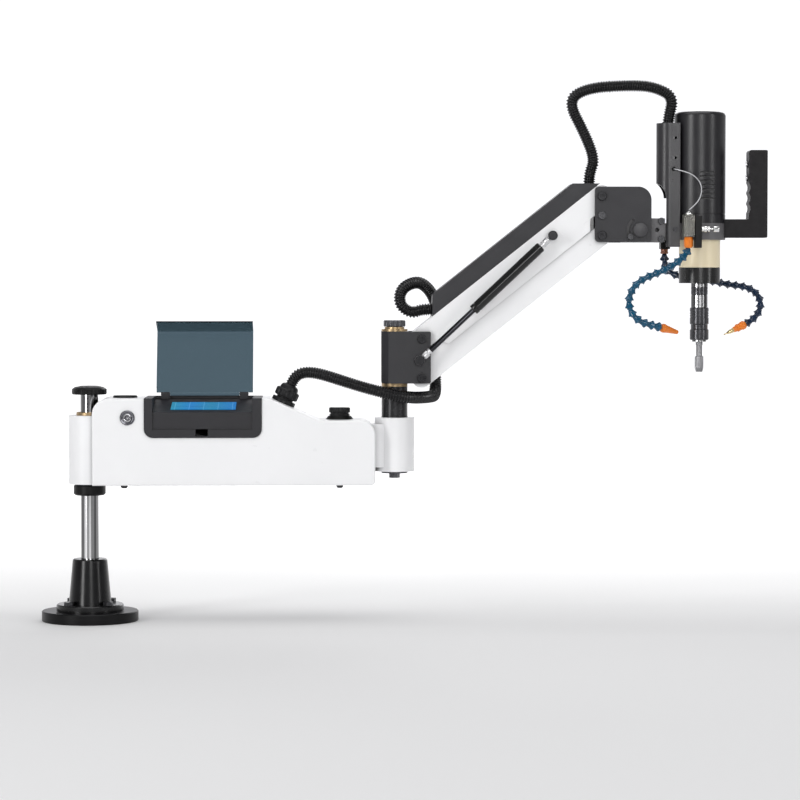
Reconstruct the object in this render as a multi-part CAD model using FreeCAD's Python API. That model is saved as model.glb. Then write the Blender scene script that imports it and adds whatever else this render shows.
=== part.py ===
"""Arm tapping machine: a bench column, a swivelling control arm, a balanced parallelogram arm
and a servo tapping head. Millimetres. The origin is on the bench, on the column's axis; the
arm reaches out along +X, the operator stands at -Y and +Z is up."""

import FreeCAD, Part

import math
import os

os.makedirs("parts", exist_ok=True)

Vec = FreeCAD.Vector


def route_from(origin, steps):
    """The points of a route that is given from an origin."""
    return tuple((origin.x + x, origin.y + y, origin.z + z) for x, y, z in steps)


# ---- fits and clearances ----
RUNNING_FIT = 0.05
FLAT_GAP = 0.3
SIDE_GAP = 1.0
SCREW_FIT = 0.05

# ---- stand ----
BASE_RADIUS = 87.5
BASE_THICK = 19.0
BASE_CHAMFER = 1.5
BENCH_HOLE_RADIUS = 4.5
BENCH_CIRCLE = 75.0
BENCH_HOLES = 4
FOOT_RADIUS = 61.0
FOOT_THICK = 12.0
CONE_FOOT_RADIUS = 38.7
CONE_TOP_RADIUS = 31.5
CONE_HEIGHT = 82.0
CONE_ROUND = 2.0
FOOT_SCREW_CIRCLE = 50.0
FOOT_SCREW_RADIUS = 5.0
FOOT_SCREW_FLATS = 16.0
FOOT_SCREW_HEAD = 6.5
FOOT_SCREW_BITE = 14.0
COLUMN_RADIUS = 16.0
COLUMN_TOP = 424.0
COLUMN_SPIGOT = 14.0
KNOB_RADIUS = 31.5
KNOB_BOTTOM = COLUMN_TOP - 12.0
KNOB_SIDE = 9.5
KNOB_DOME = 6.5
KNOB_SHOULDER = (26.5, 3.6)
KNOB_CROWN = (15.8, 5.8)
KNOB_FLUTES = 12
KNOB_FLUTE_RADIUS = 5.0
KNOB_FLUTE_DEPTH = 1.2

# ---- height collar ----
COLLAR_RADIUS = 29.0
COLLAR_TOP = 247.0
COLLAR_BOTTOM = COLLAR_TOP - 18.0
COLLAR_ROUND = 3.0
COLLAR_SLOT = 2.5
COLLAR_SCREW_RADIUS = 3.0
COLLAR_SCREW_HEAD_RADIUS = 5.0
COLLAR_SCREW_HEAD = 6.0
COLLAR_SCREW_PLACE = 22.5
WASHER_THICK = 2.4

# ---- control arm ----
ARM_REACH = 554.0
ARM_BOTTOM = 250.0
ARM_TOP = 406.0
ARM_LOW_TOP = 366.5
ARM_LEFT = 9.0
ARM_RIGHT = ARM_REACH - 36.0
ARM_HALF_DEPTH = 65.0
ARM_WALL = 4.0
ARM_EDGE = 3.0
SLOPE_START = 329.0
SLOPE_RUN = 87.5
SLOPE_END = SLOPE_START + SLOPE_RUN
LEFT_HUB_RADIUS = 37.5
LEFT_HUB_TOP = 374.0
LEFT_CORNER = 28.0
RIGHT_CORNER = 26.0
LOWER_CORNER = 8.0
COLUMN_CLEARANCE = 12.0
RIGHT_HUB_RADIUS = 36.0
RIGHT_HUB_BOTTOM = 272.0
RIGHT_HUB_TOP = 370.0
NECK_HALF_DEPTH = 30.0
NECK_START = ARM_RIGHT - 28.0
NECK_MARGIN = 8.0
BUSH_WALL = 4.0
BUSH_LENGTH = 34.0
BUSH_FLANGE_RADIUS = 23.7
BUSH_FLANGE = 6.0
COVER_THICK = 3.0
COVER_END_GAP = 1.2
COVER_SCREW_XS = (66.0, ARM_RIGHT - 64.0)
COVER_SCREW_Y = ARM_HALF_DEPTH - 13.0
COVER_SCREW_RADIUS = 2.5
COVER_SCREW_HEAD_RADIUS = 6.5
COVER_SCREW_HEAD = 5.0
COVER_BOSS_RADIUS = 6.0
COVER_BOSS_HEIGHT = 16.0
POWER_BUTTON_X = 72.5
POWER_BUTTON_Z = 372.0
POWER_BEZEL_RADIUS = 13.5
POWER_BEZEL_PROUD = 2.5
POWER_BARREL_RADIUS = 9.5
POWER_BARREL_LENGTH = 26.0
POWER_CAP_RADIUS = 7.0
POWER_CAP_LENGTH = 16.0
POWER_CAP_PROUD = 1.5
BUTTON_TRAVEL = 2.0
TOP_DISC_X = 65.0
TOP_DISC_RADIUS = 22.0
TOP_DISC_PROUD = 4.0
TOP_DISC_STEM_RADIUS = 14.0
SOCKET_X = (SLOPE_END + ARM_RIGHT) / 2 - 13.25
SOCKET_FLANGE_RADIUS = 25.0
SOCKET_FLANGE = 6.0
SOCKET_CAP_RADIUS = 19.2
SOCKET_CAP = 15.5
SOCKET_BODY_RADIUS = 15.0
SOCKET_BODY_DEPTH = 24.0
GLAND_FLANGE_RADIUS = 22.0
GLAND_X = SLOPE_START + GLAND_FLANGE_RADIUS
GLAND_FLANGE = 8.0
GLAND_NUT_FLATS = 38.0
GLAND_NUT = 16.0
GLAND_DOME = 11.0
GLAND_DOME_RADIUS = 17.0
GLAND_STEM_RADIUS = 12.0
GLAND_STEM = 12.0

# ---- display ----
PANEL_LEFT = 102.5
PANEL_RIGHT = 313.5
PANEL_BOTTOM = 336.0
PANEL_TOP = 407.0
PANEL_PROUD = 2.0
PANEL_CORNER = 16.0
RECESS_LEFT = 117.5
RECESS_RIGHT = 296.5
RECESS_BOTTOM = 350.5
RECESS_DEPTH = 3.0
RECESS_STEP = 381.5
RECESS_BACK_Z = 402.0
PANEL_WALL = 3.0
NOTCH_LEFT = 195.0
NOTCH_RIGHT = 217.0
NOTCH_HEIGHT = 12.0
NOTCH_DEPTH = 6.0
SCREEN_LEFT = 149.0
SCREEN_RIGHT = 266.0
SCREEN_DEPTH = 64.0
SCREEN_FROM_FRONT = 24.0
SCREEN_THICK = 4.0
SCREEN_PROUD = 1.0
BEZEL_MARGIN = 12.0
BEZEL_THICK = 2.0
LID_GAP = 1.0
LID_LIP_GAP = 0.5
LID_LIP = 54.0
LID_THICK = 3.0
LID_OPEN = 110.0
LID_RIB = 4.0
HINGE_Y = ARM_HALF_DEPTH - 9.0
HINGE_RADIUS = 3.5
HINGE_PIN_RADIUS = 1.5
HINGE_KNUCKLES = (135.0, 279.0)
HINGE_KNUCKLE_LENGTH = 16.0
HINGE_GAP = 0.4

# ---- swivel post ----
POST_CORE_RADIUS = 22.0
POST_SHOULDER_RADIUS = 23.7
POST_SHOULDER_TOP = 425.6
POST_RADIUS = 15.0
POST_THREAD_RADIUS = 8.0
POST_THREAD = 9.0
POST_WASHER_RADIUS = 24.0
POST_WASHER = 3.6
POST_BOLT_FLATS = 17.0
POST_BOLT_HEAD = 9.0
POST_BOLT_RADIUS = 5.0
POST_BOLT_BITE = 30.0
POST_NUT_RADIUS = 20.0
POST_NUT = 11.5
POST_NUT_FLUTES = 16
POST_NUT_FLUTE_RADIUS = 2.4
POST_NUT_GAP = 0.8

# ---- swivel block ----
BLOCK_LEFT = 24.0
BLOCK_RIGHT = 64.5
BLOCK_BOTTOM = 432.4
BLOCK_TOP = 526.2
BLOCK_HALF_DEPTH = 45.0
BLOCK_CHAMFER = 12.0
BLOCK_WEB_RIGHT = 25.0
BLOCK_CORNER = 3.0
CHEEK_THICK = 8.0
RING_GAP = 0.4
FLANGE_THICK = 4.0
FLANGE_STEP_RADIUS = 18.0
FLANGE_STEP = 3.8
SWIVEL_BUSH_WALL = 3.0
SWIVEL_BUSH_LENGTH = 30.0

# ---- parallelogram arm: u runs along the links, v stands square to them ----
PIVOT_X = 48.3
PIVOT_Z = 512.9
LINK_LENGTH = 415.0
LINK_ANGLE = 38.4
PIN_SPACING = 71.0
PIN_RADIUS = 6.0
PIN_HEAD_RADIUS = 8.2
PIN_HEAD = 5.0
PIN_KEY = 7.0
PIVOT_TUBE_WALL = 3.0
UPPER_HALF_DEPTH = 36.0
UPPER_TOP = 19.7
UPPER_SKIRT = 37.0
UPPER_NOTCH = 33.0
UPPER_NOTCH_RUN = 12.0
UPPER_HEAD_NOTCH = 58.0
LINK_WALL = 3.0
LINK_SIDE_GAP = 1.0
LINK_CORNER = 3.0
LOWER_FLOOR = 17.6
LOWER_RISE = 35.0
LOWER_RISE_START = 34.0
LOWER_RISE_RUN = 6.0
COVER_HEIGHT = 31.0
COVER_WALL = 2.5
COVER_START = 40.7
COVER_HEAD_END = LINK_LENGTH - 27.0
COVER_INSET = 2.0
COVER_ROUND = 4.0
PAD_U = LINK_LENGTH - 41.0
PAD_LENGTH = 14.0
PAD_LOW = 34.0
PAD_HIGH = 4.0
PAD_HALF_DEPTH = 26.0

# ---- balancing struts ----
STRUT_PIN_DX = -3.8
STRUT_PIN_DZ = -38.2
STRUT_ALONG = 300.0
STRUT_ROD_RADIUS = 5.0
STRUT_BODY_RADIUS = 9.6
STRUT_BORE_RADIUS = 8.4
STRUT_BODY_LENGTH = 166.0
STRUT_BODY_START = 30.0
STRUT_CAP = 5.0
STRUT_ROD_LENGTH = 252.0
STRUT_EYE_RADIUS = 9.0
STRUT_EYE_WIDTH = 9.0
STRUT_NECK_RADIUS = 6.2
STRUT_NECK_START = 9.2
STRUT_NECK_END = 44.0
STRUT_PIN_RADIUS = 4.0
STRUT_PIN_HEAD_RADIUS = 8.6
STRUT_PIN_HEAD = 4.0
STRUT_PIN_SHOULDER = 7.0
STRUT_OUTBOARD = 57.0

# ---- head bracket, measured from the lower head pivot ----
PLATE_LEFT = -12.6
PLATE_RIGHT = 89.5
PLATE_BOTTOM = -12.0
PLATE_TOP = 88.0
PLATE_THICK = 6.0
PLATE_GAP = 2.0
PLATE_CORNER = 7.0
PLATE_TOP_CORNER = 24.0
PLATE_LOW_CORNER = 5.0
PLATE_SCREW_Z = 36.0
PLATE_SCREW_RADIUS = 3.0
PLATE_SCREW_HEAD_RADIUS = 7.5
PLATE_SCREW_HEAD = 3.5
TILT_X = 69.5
TILT_Z = 10.0
TILT_PIN_RADIUS = 8.0
TILT_BOSS_RADIUS = 13.2
TILT_BOSS = 4.0
TILT_SLOT_RADIUS = 22.0
TILT_SLOT_WIDTH = 6.6
TILT_SLOT_FROM = 131.0
TILT_SLOT_TO = 214.0
TILT_SCREW_RADIUS = 3.0
TILT_SCREW_HEAD_RADIUS = 5.5
TILT_SCREW_HEAD = 4.0

# ---- pivots, from the arm's end to the head ----
ALONG = Vec(math.cos(math.radians(LINK_ANGLE)), 0, math.sin(math.radians(LINK_ANGLE)))
UPPER_PIVOT = Vec(ARM_REACH + PIVOT_X, 0, PIVOT_Z)
LOWER_PIVOT = UPPER_PIVOT - Vec(0, 0, PIN_SPACING)
HEAD_UPPER = UPPER_PIVOT + ALONG * LINK_LENGTH
HEAD_LOWER = LOWER_PIVOT + ALONG * LINK_LENGTH
STRUT_LOW = UPPER_PIVOT + Vec(STRUT_PIN_DX, 0, STRUT_PIN_DZ)
STRUT_HIGH = UPPER_PIVOT + ALONG * STRUT_ALONG
TILT_PIVOT = HEAD_LOWER + Vec(TILT_X, 0, TILT_Z)

# ---- head carrier, measured from the tilt pivot ----
TONGUE_LEFT = -30.0
TONGUE_GAP = 0.5
CARRIER_BLOCK_LEFT = 21.0
CARRIER_BLOCK_RIGHT = 45.0
CARRIER_LOW = -22.0
CARRIER_HIGH = 21.0
CARRIER_CORNER = 3.0
CARRIER_HOLE_RADIUS = 4.0
CARRIER_HOLE_X = 31.0
CARRIER_HOLE_DEPTH = 12.0
CARRIER_SCREW_X = 38.5
CARRIER_SCREW_ZS = (16.0, -17.0)
CARRIER_SCREW_RADIUS = 3.0
CARRIER_SCREW_HEAD_RADIUS = 6.3
CARRIER_SCREW_HEAD = 4.0
CARRIER_SCREW_BITE = 10.0
CARRIER_SCREW_KEY = 5.0
NECK_DEPTH = 30.7

# ---- tapping head ----
HEAD_X = TILT_PIVOT.x + 112.67
MOTOR_RADIUS = 46.5
MOTOR_BOTTOM = TILT_PIVOT.z + 12.32
MOTOR_HEIGHT = 202.0
MOTOR_TOP = MOTOR_BOTTOM + MOTOR_HEIGHT
MOTOR_ROUND = 8.0
MOTOR_SEAM_Z = MOTOR_BOTTOM + 16.0
MOTOR_SEAM = 1.6
MOTOR_SEAM_DEPTH = 0.8
VENT_ROWS = 7
VENT_PITCH = 7.9
VENT_LEFT = HEAD_X - 4.7
VENT_LENGTH = 26.0
VENT_HEIGHT = 3.2
VENT_DEPTH = 38.5
VENT_TOP_Z = MOTOR_TOP - 108.0
RING_BOTTOM = MOTOR_BOTTOM - 30.0
GEARBOX_RADIUS = 37.5
GEARBOX_BOTTOM = RING_BOTTOM - 50.0
NOSE_BOTTOM = GEARBOX_BOTTOM - 28.5
NOSE_RECESS_RADIUS = 28.0
NOSE_RECESS = 5.0

# ---- cable guide ----
DUCT_X = HEAD_X - 57.7
DUCT_Y = -11.0
DUCT_RADIUS = 23.0
GUIDE_BOTTOM = RING_BOTTOM - 13.0
GUIDE_CURVE_BOTTOM = GUIDE_BOTTOM + 89.0
GUIDE_DUCT_BOTTOM = GUIDE_CURVE_BOTTOM + 30.0
GUIDE_TOP = GUIDE_DUCT_BOTTOM + 105.0
GUIDE_STRIP = DUCT_X - 7.0
GUIDE_RIGHT = DUCT_X + 18.0
GUIDE_BACK_RIGHT = DUCT_X + 10.0
GUIDE_CAP_TOP = GUIDE_TOP - 5.0
GUIDE_WALL = 3.0
GUIDE_HOLE_RADIUS = 2.6
GUIDE_HOLES_Z = (GUIDE_TOP - 27.0, GUIDE_TOP - 63.0)
GUIDE_HOLE_X = DUCT_X + 9.0
GUIDE_SCREW_Z = GUIDE_BOTTOM + 32.0
GUIDE_SCREW_RADIUS = 2.5
GUIDE_SCREW_HEAD_RADIUS = 4.2
GUIDE_SCREW_HEAD = 2.5
GUIDE_SCREW_KEY = 3.0

# ---- spindle and chuck ----
SPINDLE_RADIUS = 9.3
SPINDLE_TOP = NOSE_BOTTOM + 26.5
SLEEVE_RADIUS = 15.0
SLEEVE_TOP = NOSE_BOTTOM - 4.5
SLEEVE_BOTTOM = SLEEVE_TOP - 39.5
SLEEVE_GROOVE_TOP = SLEEVE_TOP - 6.0
SLEEVE_GROOVE_BOTTOM = SLEEVE_GROOVE_TOP - 11.5
SLEEVE_GROOVE_DEPTH = 0.9
CHUCK_RADIUS = 17.3
CHUCK_GAP = 0.2
CHUCK_BOTTOM = SLEEVE_BOTTOM - 59.5
CHUCK_GROOVES = 3
CHUCK_GROOVE_PITCH = 4.6
CHUCK_GROOVE_WIDTH = 2.0
CHUCK_GROOVE_DEPTH = 0.8
CHUCK_GROOVE_TOP = SLEEVE_BOTTOM - 7.5
CHUCK_WAIST_TOP = CHUCK_BOTTOM + 28.0
CHUCK_WAIST_BOTTOM = CHUCK_WAIST_TOP - 8.0
CHUCK_WAIST_RADIUS = 15.6
CHUCK_CHAMFER = 1.5
CORE_RADIUS = 12.9
CORE_BOTTOM = CHUCK_BOTTOM - 3.0
TAP_SHANK_RADIUS = 6.4
TAP_SHANK_TOP = CORE_BOTTOM + 23.0
TAP_NECK_RADIUS = 5.6
TAP_NECK_TOP = CORE_BOTTOM - 7.0
TAP_THREAD_RADIUS = 8.0
TAP_THREAD_TOP = TAP_NECK_TOP - 20.0
TAP_LEAD = 7.0
TAP_TIP_RADIUS = 6.0
TAP_BOTTOM = TAP_THREAD_TOP - 28.0
TAP_FLUTES = 3
TAP_FLUTE_RADIUS = 3.4
TAP_FLUTE_PLACE = 8.0

# ---- handle ----
HANDLE_REACH = 121.3
HANDLE_RIGHT = HEAD_X + HANDLE_REACH
HANDLE_BAR_BOTTOM = RING_BOTTOM + 4.0
HANDLE_BAR_TOP = HANDLE_BAR_BOTTOM + 33.5
GRIP_HEIGHT = 125.5
HANDLE_TOP = HANDLE_BAR_TOP + GRIP_HEIGHT
HANDLE_GRIP_LEFT = HANDLE_RIGHT - 34.0
HANDLE_HALF_DEPTH = 20.0
HANDLE_ROUND = 1.6
HANDLE_INNER_CORNER = 2.5
HANDLE_OUTER_CORNER = 2.5
HANDLE_TIP_CORNER = 5.0
HANDLE_WAVES = 3
HANDLE_WAVE_PITCH = 19.0
HANDLE_WAVE_START = HANDLE_BAR_TOP + 19.5
HANDLE_WAVE_RADIUS = 14.0
HANDLE_WAVE_DEPTH = 2.6
GRIP_BUTTON_TOP = HANDLE_TOP - 25.5
GRIP_BUTTON_PITCH = 24.5
GRIP_BUTTON_ZS = (GRIP_BUTTON_TOP, GRIP_BUTTON_TOP - GRIP_BUTTON_PITCH)
GRIP_BUTTON_RADIUS = 6.6
GRIP_BUTTON_PROUD = 4.0
GRIP_BUTTON_LENGTH = 16.0
GRIP_BUTTON_TRAVEL = 2.5

# ---- coolant valve and hoses ----
VALVE_LEFT = HEAD_X - 37.7
VALVE_RIGHT = VALVE_LEFT + 20.0
VALVE_BOTTOM = RING_BOTTOM + 5.0
VALVE_TOP = VALVE_BOTTOM + 40.0
VALVE_FRONT = -74.0
VALVE_BACK = -50.0
VALVE_NUT_FLATS = 12.0
VALVE_NUT = 7.0
VALVE_BRACKET_RIGHT = VALVE_RIGHT + 13.0
VALVE_BRACKET_BOTTOM = VALVE_BOTTOM - 20.0
VALVE_BRACKET_TOP = VALVE_TOP - 2.0
VALVE_BRACKET_FRONT = -72.0
VALVE_PAD_FRONT = -52.0
VALVE_NEEDLE_Z = VALVE_BOTTOM + 14.0
VALVE_NEEDLE = (8.0, 8.0, 5.0, 16.0, 7.0, 12.0)
ORANGE_NUT_RADIUS = 8.4
ORANGE_NUT = 20.0
REAR_BLOCK_RIGHT = TILT_PIVOT.x + 62.47
REAR_BLOCK_BACK = 58.0
REAR_BLOCK_BOTTOM = RING_BOTTOM - 16.0
REAR_BLOCK_TOP = REAR_BLOCK_BOTTOM + 30.0
REAR_COUPLING_RADIUS = 7.5
REAR_COUPLING = 9.0
HOSE_RADIUS = 6.5
HOSE_TIP_RADIUS = 2.4
HOSE_SIDES = 8
HOSE_TOUCH = 0.3
HOSE_SWELL = (0.36, 0.78)
NOZZLE_RADIUS = 8.2
NOZZLE_TIP_RADIUS = 3.6
HEAD_ORIGIN = Vec(HEAD_X, 0.0, MOTOR_BOTTOM)
LEFT_HOSE = route_from(HEAD_ORIGIN, (
    (-27.7, -62.0, -46.1), (-32.7, -66.0, -56.0), (-41.7, -70.0, -65.0), (-52.7, -73.0, -73.5),
    (-65.2, -75.0, -81.0), (-78.7, -77.0, -87.5), (-92.2, -78.0, -93.0), (-105.7, -79.0, -98.5),
    (-118.2, -80.0, -105.5), (-128.2, -80.0, -115.5), (-134.7, -80.0, -128.0), (-137.2, -80.0, -142.0),
    (-134.7, -79.0, -156.0), (-127.2, -77.0, -168.0), (-115.7, -74.0, -177.0), (-102.7, -69.0, -182.0),
    (-89.7, -63.0, -185.0), (-77.2, -55.0, -188.0),
))
LEFT_NOZZLE_TIP = route_from(HEAD_ORIGIN, ((-43.7, -32.0, -197.5),))[0]
RIGHT_HOSE = route_from(HEAD_ORIGIN, (
    (-58.7, 48.0, -55.7), (-57.7, 53.0, -68.0), (-54.7, 58.0, -80.0), (-44.7, 60.0, -89.5),
    (-31.7, 60.0, -95.5), (-18.2, 60.0, -99.0), (-4.2, 60.0, -101.0), (9.8, 59.0, -102.5),
    (23.8, 57.5, -104.0), (37.3, 55.0, -106.0), (50.8, 52.0, -109.0), (64.3, 49.0, -111.5),
    (77.8, 46.0, -113.0), (90.8, 43.0, -115.5), (102.8, 40.0, -121.0), (112.3, 37.5, -130.0),
    (117.3, 35.0, -142.5), (115.8, 33.0, -156.0), (109.3, 31.0, -168.0), (99.3, 29.0, -177.0),
    (87.8, 26.5, -183.5),
))
RIGHT_NOZZLE_TIP = route_from(HEAD_ORIGIN, ((39.3, 14.5, -206.5),))[0]

# ---- conduits and signal lead ----
CONDUIT_RADIUS = 11.0
LEAD_RADIUS = 1.0
ARC_SHARE = 0.45
GLAND_RUN = 15.0
LOWER_CONDUIT_SPLIT = route_from(UPPER_PIVOT, ((-72.3, -38.0, -96.1),))[0]
LOWER_CONDUIT_A = (
    (385.0, -2.0, 451.0), (405.0, -6.0, 451.8), (430.0, -13.0, 446.0), (466.0, -24.0, 434.5),
    (504.0, -33.0, 423.0),
)
LOWER_CONDUIT_B = route_from(UPPER_PIVOT, (
    (-46.3, -43.0, -102.3), (-18.3, -35.0, -105.9), (3.7, -16.0, -105.4), (21.7, 10.0, -99.9),
    (34.7, 38.0, -84.9), (41.7, 60.0, -57.9), (44.7, 67.0, -16.9), (47.7, 66.0, 27.1),
    (45.7, 60.0, 65.1), (19.7, 44.0, 93.1), (-6.3, 26.0, 105.1), (-36.3, 8.0, 91.1), (-40.3, 2.0, 63.1),
    (-19.3, 0.0, 46.1), (3.7, 0.0, 53.1),
))
UPPER_CONDUIT_SPLIT = route_from(HEAD_UPPER, ((17.47, -3.0, 199.52),))[0]
UPPER_CONDUIT_X = HEAD_UPPER.x - 19.53
UPPER_CONDUIT_A = route_from(HEAD_UPPER, (
    (-19.53, 0.0, 41.32), (-9.53, 0.0, 67.32), (-27.53, 0.0, 113.32), (-59.53, 0.0, 174.32),
    (-22.53, -1.0, 197.32),
))
UPPER_CONDUIT_B = route_from(HEAD_UPPER, (
    (57.47, -5.0, 201.72), (97.47, -10.0, 198.32), (132.47, -13.0, 180.32), (122.47, -14.0, 141.32),
))
LEAD_ROUTE = route_from(HEAD_ORIGIN, (
    (-51.7, -34.3, 98.0), (-49.7, -44.0, 97.0), (-35.7, -52.0, 93.0), (-21.7, -55.0, 88.0),
    (-10.7, -57.0, 79.0), (-3.7, -58.0, 66.0), (-4.7, -59.0, 51.0), (-10.7, -60.0, 38.0),
    (-20.7, -61.0, 28.5), (-26.7, -62.0, 23.2),
))


def rod_z(radius, bottom, top, x=0.0, y=0.0):
    return Part.makeCylinder(radius, top - bottom, Vec(x, y, bottom))


def rod_y(radius, front, back, x, z):
    return Part.makeCylinder(radius, back - front, Vec(x, front, z), Vec(0, 1, 0))


def rod_x(radius, left, right, y, z):
    return Part.makeCylinder(radius, right - left, Vec(left, y, z), Vec(1, 0, 0))


def block(left, right, front, back, bottom, top):
    return Part.makeBox(right - left, back - front, top - bottom, Vec(left, front, bottom))


def turned(profile, x=0.0, y=0.0):
    """A solid of revolution about the vertical line through (x, y); profile is (radius, z)."""
    wire = Part.makePolygon([Vec(x + r, y, z) for r, z in profile + profile[:1]])
    return Part.Face(wire).revolve(Vec(x, y, 0), Vec(0, 0, 1), 360)


def point_solid(solid, origin, direction):
    """Carry a solid made about the vertical axis at the origin to a place and a direction."""
    solid.Placement = FreeCAD.Placement(origin, FreeCAD.Rotation(Vec(0, 0, 1), direction))
    return solid


def hexagon(flats, bottom, top, x=0.0, y=0.0, turn=0.0):
    corner = flats / math.sqrt(3.0)
    points = []
    for i in range(7):
        angle = math.radians(60.0 * i + turn)
        points.append(Vec(x + corner * math.cos(angle), y + corner * math.sin(angle), bottom))
    return Part.Face(Part.makePolygon(points)).extrude(Vec(0, 0, top - bottom))


def rounded_wire(corners, place):
    """A closed wire through corners of (a, b, radius), each rounded by a tangent arc.
    place turns (a, b) into a point in space."""
    starts = []
    edges = []
    count = len(corners)
    for i, (a, b, radius) in enumerate(corners):
        before = corners[i - 1]
        after = corners[(i + 1) % count]
        corner = Vec(a, b, 0)
        to_before = (Vec(before[0], before[1], 0) - corner).normalize()
        to_after = (Vec(after[0], after[1], 0) - corner).normalize()
        half = to_before.getAngle(to_after) / 2.0
        if radius <= 0.0:
            starts.append((corner, corner, None))
            continue
        back_off = radius / math.tan(half)
        middle_way = (to_before + to_after).normalize()
        centre = corner + middle_way * (radius / math.sin(half))
        middle = centre - middle_way * radius
        starts.append((corner + to_before * back_off, corner + to_after * back_off, middle))
    for i, (enter, leave, middle) in enumerate(starts):
        if middle is not None:
            edges.append(Part.Arc(place(enter), place(middle), place(leave)).toShape())
        following = starts[(i + 1) % count][0]
        if (following - leave).Length > 1e-6:
            edges.append(Part.LineSegment(place(leave), place(following)).toShape())
    return Part.Wire(edges)


def side_plate(corners, front, back):
    """A plate seen from the front: corners are (x, z, radius), extruded from front to back."""
    wire = rounded_wire(corners, lambda p: Vec(p.x, front, p.y))
    return Part.Face(wire).extrude(Vec(0, back - front, 0))


def flat_plate(corners, bottom, top):
    """A plate seen from above: corners are (x, y, radius)."""
    wire = rounded_wire(corners, lambda p: Vec(p.x, p.y, bottom))
    return Part.Face(wire).extrude(Vec(0, 0, top - bottom))


def cross_section(corners, left, right):
    """A bar along X: corners are (y, z, radius)."""
    wire = rounded_wire(corners, lambda p: Vec(left, p.x, p.y))
    return Part.Face(wire).extrude(Vec(right - left, 0, 0))


def edges_where(shape, test):
    return [edge for edge in shape.Edges if test(edge)]


def on_circle(radius, count, first=45.0):
    places = []
    for i in range(count):
        angle = math.radians(first + 360.0 / count * i)
        places.append((radius * math.cos(angle), radius * math.sin(angle)))
    return places


def fuse_all(solids):
    result = solids[0]
    for solid in solids[1:]:
        result = result.fuse(solid)
    return result.removeSplitter()


def save(name, *shapes):
    """Write one sub-part; several separate solids make a group."""
    shape = shapes[0] if len(shapes) == 1 else Part.makeCompound(list(shapes))
    shape.exportStep("parts/" + name + ".step")


def slotted_head(radius, height, key):
    """A cap screw's head, bottom at the origin and opening up, with a hexagon socket."""
    head = turned([(0, 0), (radius, 0), (radius, height * 0.8), (radius * 0.9, height), (0, height)])
    return head.cut(hexagon(key, height * 0.45, height + 1.0))


# ==== stand: base plate, foot, column, screws and the column's knob ====

FOOT_TOP = BASE_THICK + FOOT_THICK
CONE_TOP = FOOT_TOP + CONE_HEIGHT
COLUMN_BORE = COLUMN_RADIUS + RUNNING_FIT


def make_stand():
    base = rod_z(BASE_RADIUS, 0.0, BASE_THICK)
    rim = edges_where(base, lambda e: len(e.Vertexes) == 1)
    base = base.makeChamfer(BASE_CHAMFER, rim)
    for x, y in on_circle(BENCH_CIRCLE, BENCH_HOLES):
        base = base.cut(rod_z(BENCH_HOLE_RADIUS, -1.0, BASE_THICK + 1.0, x, y))
    for x, y in on_circle(FOOT_SCREW_CIRCLE, BENCH_HOLES):
        depth = BASE_THICK - FOOT_SCREW_BITE - 1.0
        base = base.cut(rod_z(FOOT_SCREW_RADIUS + SCREW_FIT, depth, BASE_THICK + 1.0, x, y))
    base = base.cut(rod_z(COLUMN_BORE, BASE_THICK - COLUMN_SPIGOT, BASE_THICK + 1.0))
    save("base_plate", base)

    foot = turned([
        (COLUMN_BORE, BASE_THICK), (FOOT_RADIUS, BASE_THICK), (FOOT_RADIUS, FOOT_TOP - CONE_ROUND),
        (FOOT_RADIUS - CONE_ROUND, FOOT_TOP), (CONE_FOOT_RADIUS, FOOT_TOP),
        (CONE_TOP_RADIUS, CONE_TOP - CONE_ROUND), (CONE_TOP_RADIUS - CONE_ROUND, CONE_TOP),
        (COLUMN_BORE, CONE_TOP),
    ])
    for x, y in on_circle(FOOT_SCREW_CIRCLE, BENCH_HOLES):
        hole = rod_z(FOOT_SCREW_RADIUS + SCREW_FIT, BASE_THICK - 1.0, FOOT_TOP + 1.0, x, y)
        foot = foot.cut(hole)
    save("column_foot", foot)

    screws = []
    for x, y in on_circle(FOOT_SCREW_CIRCLE, BENCH_HOLES):
        shank = rod_z(FOOT_SCREW_RADIUS, BASE_THICK - FOOT_SCREW_BITE, FOOT_TOP, x, y)
        head = hexagon(FOOT_SCREW_FLATS, FOOT_TOP, FOOT_TOP + FOOT_SCREW_HEAD, x, y, 15.0)
        screws.append(fuse_all([shank, head]))
    save("foot_screws", *screws)

    column = rod_z(COLUMN_RADIUS, BASE_THICK - COLUMN_SPIGOT, COLUMN_TOP)
    save("column", column.makeChamfer(1.0, edges_where(column, lambda e: len(e.Vertexes) == 1)))

    side_top = KNOB_BOTTOM + KNOB_SIDE
    knob = turned([
        (COLUMN_BORE, KNOB_BOTTOM), (KNOB_RADIUS - 1.5, KNOB_BOTTOM),
        (KNOB_RADIUS, KNOB_BOTTOM + 1.5), (KNOB_RADIUS, side_top),
        (KNOB_SHOULDER[0], side_top + KNOB_SHOULDER[1]), (KNOB_CROWN[0], side_top + KNOB_CROWN[1]),
        (0, side_top + KNOB_DOME), (0, COLUMN_TOP), (COLUMN_BORE, COLUMN_TOP),
    ])
    for x, y in on_circle(KNOB_RADIUS + KNOB_FLUTE_RADIUS - KNOB_FLUTE_DEPTH, KNOB_FLUTES):
        knob = knob.cut(rod_z(KNOB_FLUTE_RADIUS, KNOB_BOTTOM - 1.0, side_top + KNOB_DOME, x, y))
    save("column_knob", knob)


# ==== height collar: carries the arm and clamps on the column ====


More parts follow.
